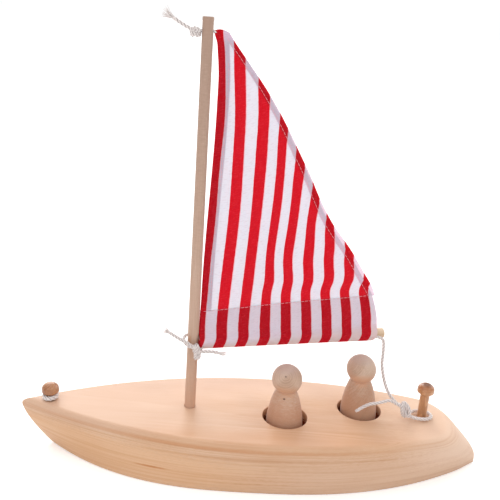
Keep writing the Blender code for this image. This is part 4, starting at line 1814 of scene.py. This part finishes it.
def smooth_line(at: Array, knots: Array, values: Array) -> Array:
    """Read a smooth curve through a few values.

    It is the cubic whose slope at each value is that of the parabola through
    its neighbours.

    Args:
        at: where to read it.
        knots: where the values stand, rising.
        values: the values.

    Returns:
        The curve's value at each place.
    """
    slope = np.gradient(values, knots)
    k = np.clip(np.searchsorted(knots, at, side="right") - 1, 0, len(knots) - 2)
    h = knots[k + 1] - knots[k]
    t = (at - knots[k]) / h
    a = (1 + 2 * t) * (1 - t) ** 2 * values[k] + t * (1 - t) ** 2 * h * slope[k]
    b = t**2 * (3 - 2 * t) * values[k + 1] + t**2 * (t - 1) * h * slope[k + 1]
    return a + b


# ---------------------------------------------------------------------- sail


@dataclass
class Sail:
    """The striped sail: one cloth, hemmed, whose foot wraps the boom.

    A place on it is given by its share across from luff to leech and its
    height.  The cloth runs down the front, under the boom and up behind it to
    the foot seam.
    """

    boom_z: float = 75.3
    head_z: float = 251.9
    sleeve: float = 4.35
    layer: float = 0.3
    thick: float = 0.42
    belly: float = 3.4
    fall: float = 4.6
    fall_power: float = 1.6
    fold_z: float = 112.0
    seam_turn_in: float = 0.8
    luff_hem: float = 6.4
    leech_hem: float = 3.1
    seam_luff_z: float = 93.8
    seam_leech_z: float = 101.4
    stitch: float = 2.3
    stitch_gap: float = 0.2
    thread_radius: float = 0.13
    hem_thick: float = 0.3
    sleeve_top: float = math.radians(48.0)
    leech_slant: float = math.radians(33.0)
    leech_stations: tuple[tuple[float, float], ...] = (
        (66.0, 110.6), (70.5, 112.8), (75.3, 115.4), (84.2, 116.0), (94.0, 113.6), (101.6, 110.6),
        (112.0, 103.8), (126.2, 94.4), (143.5, 81.0), (158.0, 72.2), (173.1, 64.4), (187.0, 56.4),
        (199.4, 49.3), (219.0, 36.2), (236.4, 22.4), (246.4, 14.2), (251.4, 10.6),
    )
    columns: int = 132
    front_rows: int = 150
    wrap_rows: int = 26
    back_rows: int = 16

    def luff(self, z: Array) -> Array:
        """The fore edge's distance from the mast: a slow bow aft, then in to the head."""
        bow = 0.4 * ease(z, 84.0, 112.0) + 3.1 * ease(z, 105.0, 215.0)
        return 3.4 + bow - 2.2 * ease(z, 226.0, 254.0) - 1.45 * ease(z, 244.0, 251.0)

    def leech(self, z: Array) -> Array:
        """The aft edge's distance from the mast."""
        stations = np.array(self.leech_stations)
        return smooth_line(np.asarray(z, float), stations[:, 0], stations[:, 1])

    def lee(self, z: Array) -> Array:
        """How far the leech falls to leeward at each height."""
        return self.fall * ease(z, 96.0, 160.0) * (1.0 - ease(z, 196.0, 250.0))

    def seam_z(self, across: Array) -> Array:
        """The foot seam's height: it climbs slightly towards the leech."""
        return self.seam_luff_z + (self.seam_leech_z - self.seam_luff_z) * across

    def swell(self, across: Array, z: Array) -> Array:
        """How far the cloth stands to starboard of its flat plane.

        The belly is a half wave both ways, the fall grows with a power of the
        way across, and soft folds run up the cloth.  The cloth puckers a little
        along the foot seam.

        Args:
            across: the share of the way from luff to leech.
            z: the height.

        Returns:
            The distance to starboard.
        """
        up = np.clip((z - self.boom_z) / (self.head_z - self.boom_z), 0.0, 1.0)
        round_it = self.belly * np.sin(math.pi * up) * np.sin(math.pi * np.clip(across, 0.0, 1.0)) ** 0.9
        slanted = FULL_TURN * (across * 2.3 + 0.35 * up) + 0.6
        folds = 0.55 * np.sin(slanted) * np.sin(math.pi * up) ** 1.2
        near_fold = np.exp(-(((z - self.fold_z) / 14.0) ** 2))
        crease = 0.35 * near_fold * np.sin(FULL_TURN * across * 3.1 + 1.1)
        s = across * 110.0
        near_seam = np.exp(-(((z - self.seam_z(across)) / 3.2) ** 2))
        pucker = 0.1 * near_seam * np.sin(FULL_TURN * s / 7.3 + 1.7 * np.sin(s / 9.0))
        return round_it + self.lee(z) * across**self.fall_power + folds + crease + pucker

    def stand_off(self, z: Array) -> Array:
        """Give half the sleeve's depth above the boom: it closes like a decaying wave.

        Args:
            z: the height.

        Returns:
            How far each layer stands from the sail's middle.
        """
        start = self.boom_z + self.sleeve * math.sin(self.sleeve_top)
        wide = self.sleeve * math.cos(self.sleeve_top)
        return self.layer + (wide - self.layer) * np.exp(-0.42 * np.maximum(z - start, 0.0))

    def stripes_at(self, s: Array, z: Array) -> Array:
        """The cloth's own distance across, at a distance aft of the mast.

        Above the foot the stripes lean aft near the luff and close up towards
        the leech, where the cloth turns away.  Near the luff they also follow
        its bow.  The shift is read at the unknown cloth distance, so it is
        settled by a few repeats.

        Args:
            s: the distance aft of the mast.
            z: the height.

        Returns:
            The cloth's own distance across.
        """
        lean = 3.9 * ease(z, 80.0, 168.0) * (1.0 - ease(z, 198.0, 254.0))
        bow = 3.1 * ease(z, 165.0, 238.0) - 0.6 * ease(z, 105.0, 130.0) - 1.2 * ease(z, 240.0, 252.0)
        close = 4.8 * ease(z, 80.0, 125.0)
        run = 0.015 + 0.025 * ease(z, 84.0, 99.0) + 0.13 * ease(z, 128.0, 150.0)
        run = run + 0.035 * np.exp(-(((z - 106.0) / 6.0) ** 2))
        fold = np.exp(-(((z - self.fold_z) / np.where(z < self.fold_z, 6.0, 11.0)) ** 2))
        tuck = 2.2 * ease(z, 80.0, 70.5)
        across = np.clip((s - self.luff(z)) / (self.leech(z) - self.luff(z)), 0.0, 1.0)
        turned_away = (0.36 - 0.2 * ease(z, 176.0, 200.0)) * self.lee(z) * across**self.fall_power
        u = np.array(s, float)
        for _ in range(8):
            shift = lean + bow * (1.0 - ease(u, 5.0, 16.0)) - close * ease(u, 30.0, 62.0)
            shift += fold * (1.5 + 0.014 * np.maximum(u - 40.0, 0.0)) * ease(u, 28.0, 48.0)
            u = s - (shift - run * np.maximum(u - 60.0, 0.0)) - turned_away + tuck
        return u

    def surface(self, across: Array, z: Array, side: float) -> Array:
        """Boat millimetres of one layer: side is -1 at the front and 1 behind."""
        s = self.luff(z) + (self.leech(z) - self.luff(z)) * across
        return on_sail(s, self.swell(across, z) + side * self.stand_off(z), z)

    def cloth(self) -> Layout:
        """Lay out the cloth from head to foot seam.

        Returns:
            Its points, its map coordinates and its distances inside the hems.
        """
        a = np.linspace(0.0, 1.0, self.columns)[None, :]
        top = self.sleeve_top
        start = self.boom_z + self.sleeve * math.sin(top)
        fall = np.linspace(0.0, 1.0, self.front_rows)[:, None]
        z_front = self.head_z + (start - self.head_z) * (0.85 * fall + 0.15 * fall**2)
        z_front = np.broadcast_to(z_front, (self.front_rows, self.columns)).copy()
        peak = ease(z_front, 240.0, self.head_z)
        z_front -= peak * (1.0 * (1.0 - a) ** 4 + 1.6 * a**4)
        turn = np.linspace(top, -math.pi - top, self.wrap_rows + 2)[1:-1, None]
        sag = self.seam_turn_in * (1.0 - a) ** 2 * np.maximum(-np.sin(turn), 0.0)
        z_wrap = self.boom_z + self.sleeve * np.sin(turn) - sag
        climb = np.linspace(0.0, 1.0, self.back_rows)[:, None]
        z_back = start + (self.seam_z(a) + self.seam_turn_in - start) * climb
        front = self.surface(a, z_front, -1.0)
        s_wrap = self.luff(z_wrap) + (self.leech(z_wrap) - self.luff(z_wrap)) * a
        wrap = on_sail(s_wrap, self.swell(a, z_wrap) - self.sleeve * np.cos(turn), z_wrap)
        back = self.surface(a, z_back, 1.0)
        points = np.concatenate([front, wrap, back])
        z_all = np.concatenate([z_front, z_wrap, z_back])
        shares = np.broadcast_to(a, z_all.shape)
        s_all = self.luff(z_all) + (self.leech(z_all) - self.luff(z_all)) * shares
        step = np.linalg.norm(np.diff(points, axis=0), axis=2)
        length = np.concatenate([np.zeros((1, self.columns)), np.cumsum(step, axis=0)])
        uv = np.stack([self.stripes_at(s_all, z_all), -length], axis=-1) / MAP_SCALE
        lean = math.cos(self.leech_slant)
        into_leech = self.leech_hem - (self.leech(z_all) - s_all) * lean
        into_luff = self.luff_hem - (s_all - self.luff(z_all))
        below = self.seam_z(shares) - z_all
        below[self.front_rows + self.wrap_rows :] = WELL_INSIDE
        return points, uv, np.stack([into_luff, into_leech, below], axis=-1)

    def strip(self, low: float, high: float, start: Array, end: Array) -> Layout:
        """Lay a hem's folded strip along the back of the cloth.

        Args:
            low: the height where it starts.
            high: the height where it ends.
            start: the strip's fore edge, as a distance from the mast.
            end: its aft edge.

        Returns:
            Its points, map coordinates and distances inside the hems.
        """
        z = np.linspace(low, high, len(start))[:, None]
        part = np.linspace(0.0, 1.0, 7)[None, :]
        s = start[:, None] + (end - start)[:, None] * part
        luff, leech = self.luff(z), self.leech(z)
        across = (s - luff) / (leech - luff)
        z_all = np.broadcast_to(z, s.shape)
        edge = np.abs(2.0 * part - 1.0) ** 6
        n = self.swell(across, z_all) + self.layer + 0.28 - 0.22 * edge
        points = on_sail(s, n, z_all)
        uv = np.stack([self.stripes_at(s, z_all), z_all], axis=-1) / MAP_SCALE
        inside = np.full((*s.shape, 3), WELL_INSIDE)
        return points, uv, inside

    def piece(self, name: str, layout: Layout, material: Finish, thick: float, *nodes: str) -> Piece:
        """Make a cloth piece with its thickness and its edge distances.

        Args:
            name: the piece's name.
            layout: its points, map coordinates and distances inside the hems.
            material: its finish.
            thick: its thickness.
            nodes: the pieces of the frame that it replaces.

        Returns:
            The piece.
        """
        points, uv, edges = layout
        skin = Skin()
        skin.grid(points, uv=uv)
        cloth = skin.build(name, material)
        layer = cloth.data.attributes.new("edges", "FLOAT_VECTOR", "POINT")
        layer.data.foreach_set("vector", edges.astype(np.float32).ravel())
        body = cloth.modifiers.new("thickness", "SOLIDIFY")
        body.thickness = thick * MM
        body.offset = 0.0
        body.use_rim = True
        settle(cloth, Body.SAIL, "sail_cloth", *nodes)
        return cloth

    def stitches(self, name: str, line: Array, out: Array, material: Finish) -> Piece:
        """Sew along a line with short raised stitches.

        Each stitch is a small spindle: it rises out of the cloth as a half
        wave, and its ends dip into it.

        Args:
            name: the piece's name.
            line: points along the seam on the cloth's face.
            out: the direction away from the cloth.
            material: the thread's finish.

        Returns:
            The stitches as one piece.
        """
        arc = arc_length(line)
        begin = np.arange(0.4, arc[-1] - self.stitch, self.stitch + self.stitch_gap)
        t = np.linspace(0.0, 1.0, 6)
        at = begin[:, None] + self.stitch * t[None, :]
        middle = np.stack([np.interp(at, arc, line[:, k]) for k in range(3)], axis=-1)
        middle = middle + out * (0.16 * np.sin(math.pi * t) - 0.06)[None, :, None]
        thick = self.thread_radius * (0.35 + 0.65 * np.sin(math.pi * t) ** 0.5)
        twine = Twine(sides=6)
        skin = Skin()
        for one in middle:
            twine.yarn(skin, one, thick, np.broadcast_to(out, one.shape))
        sewn = skin.build(name, material)
        settle(sewn, Body.SAIL, "sail_cloth")
        return sewn

    def seams(self, thread: Finish) -> list[Piece]:
        """Sew the foot seam, the leech hem and the luff hem, on both faces.

        Args:
            thread: the thread's finish.

        Returns:
            A piece for each seam and face.
        """
        made = []
        a = np.linspace(0.012, 0.985, 160)
        z = np.linspace(98.0, self.head_z - 3.5, 240)
        lean = math.cos(self.leech_slant)
        inner = (self.leech_hem - 0.7) / lean
        width = self.leech(z) - self.luff(z)
        leech = np.clip(1.0 - inner / width, 0.02, 1.0)
        luff = np.clip((self.luff_hem - 0.9) / width, 0.0, 0.98)
        z_luff = z < self.head_z - 16.0
        lines = {"foot": (a, self.seam_z(a)), "leech": (leech, z), "luff": (luff[z_luff], z[z_luff])}
        for name, (across, height) in lines.items():
            for face, side in (("front", -1.0), ("back", 1.0)):
                proud = 0.5 * self.thick + (0.45 if side > 0.0 and name != "foot" else 0.0)
                out = on_sail(0.0, side, 0.0) - on_sail(0.0, 0.0, 0.0)
                line = self.surface(across, height, side) + out * proud
                made.append(self.stitches(f"sail_stitches_{name}_{face}", line, out, thread))
        return made

    def build(self) -> None:
        """Cut, hem and sew the sail."""
        cotton = StripedCotton().material()
        sail = self.piece("sail_cloth", self.cloth(), cotton, self.thick, "sail")
        z = np.linspace(self.seam_luff_z + 2.0, self.head_z - 5.0, 120)
        luff_edge = self.luff(z) + 0.15
        leech_edge = self.leech(z) - 0.15
        hem = self.leech_hem / math.cos(self.leech_slant)
        luff_end = np.minimum(luff_edge + self.luff_hem, leech_edge - 0.2)
        leech_start = np.maximum(leech_edge - hem, luff_edge + 0.2)
        strips = {
            "sail_luff_hem": self.strip(z[0], z[-1], luff_edge, luff_end),
            "sail_leech_hem": self.strip(z[0] + 5.0, z[-1], leech_start, leech_edge),
        }
        hems = [self.piece(name, layout, cotton, self.hem_thick) for name, layout in strips.items()]
        sewn = self.seams(SewingThread().material())


def main() -> None:
    """Build the studio, the strings and then every other part of the boat."""
    logging.basicConfig(level=logging.INFO, format="%(name)s: %(message)s")
    Studio().set_up()
    Cordage().build()
    Hull().build()
    spars = Spars()
    spars.mast()
    spars.boom()
    Peg("bow_peg", BOW_PEG_WOOD).build()
    Peg("stern_peg", STERN_PEG_WOOD, dimple=0.5, proud=1.3).build()
    Passenger("passenger_fore", Body.FORE, FORE_PASSENGER_WOOD, lean=-0.8).build()
    Passenger("passenger_aft", Body.AFT, AFT_PASSENGER_WOOD, foot_shift=0.9, lean=-1.8).build()
    Sail().build()


if __name__ == "__main__":
    main()
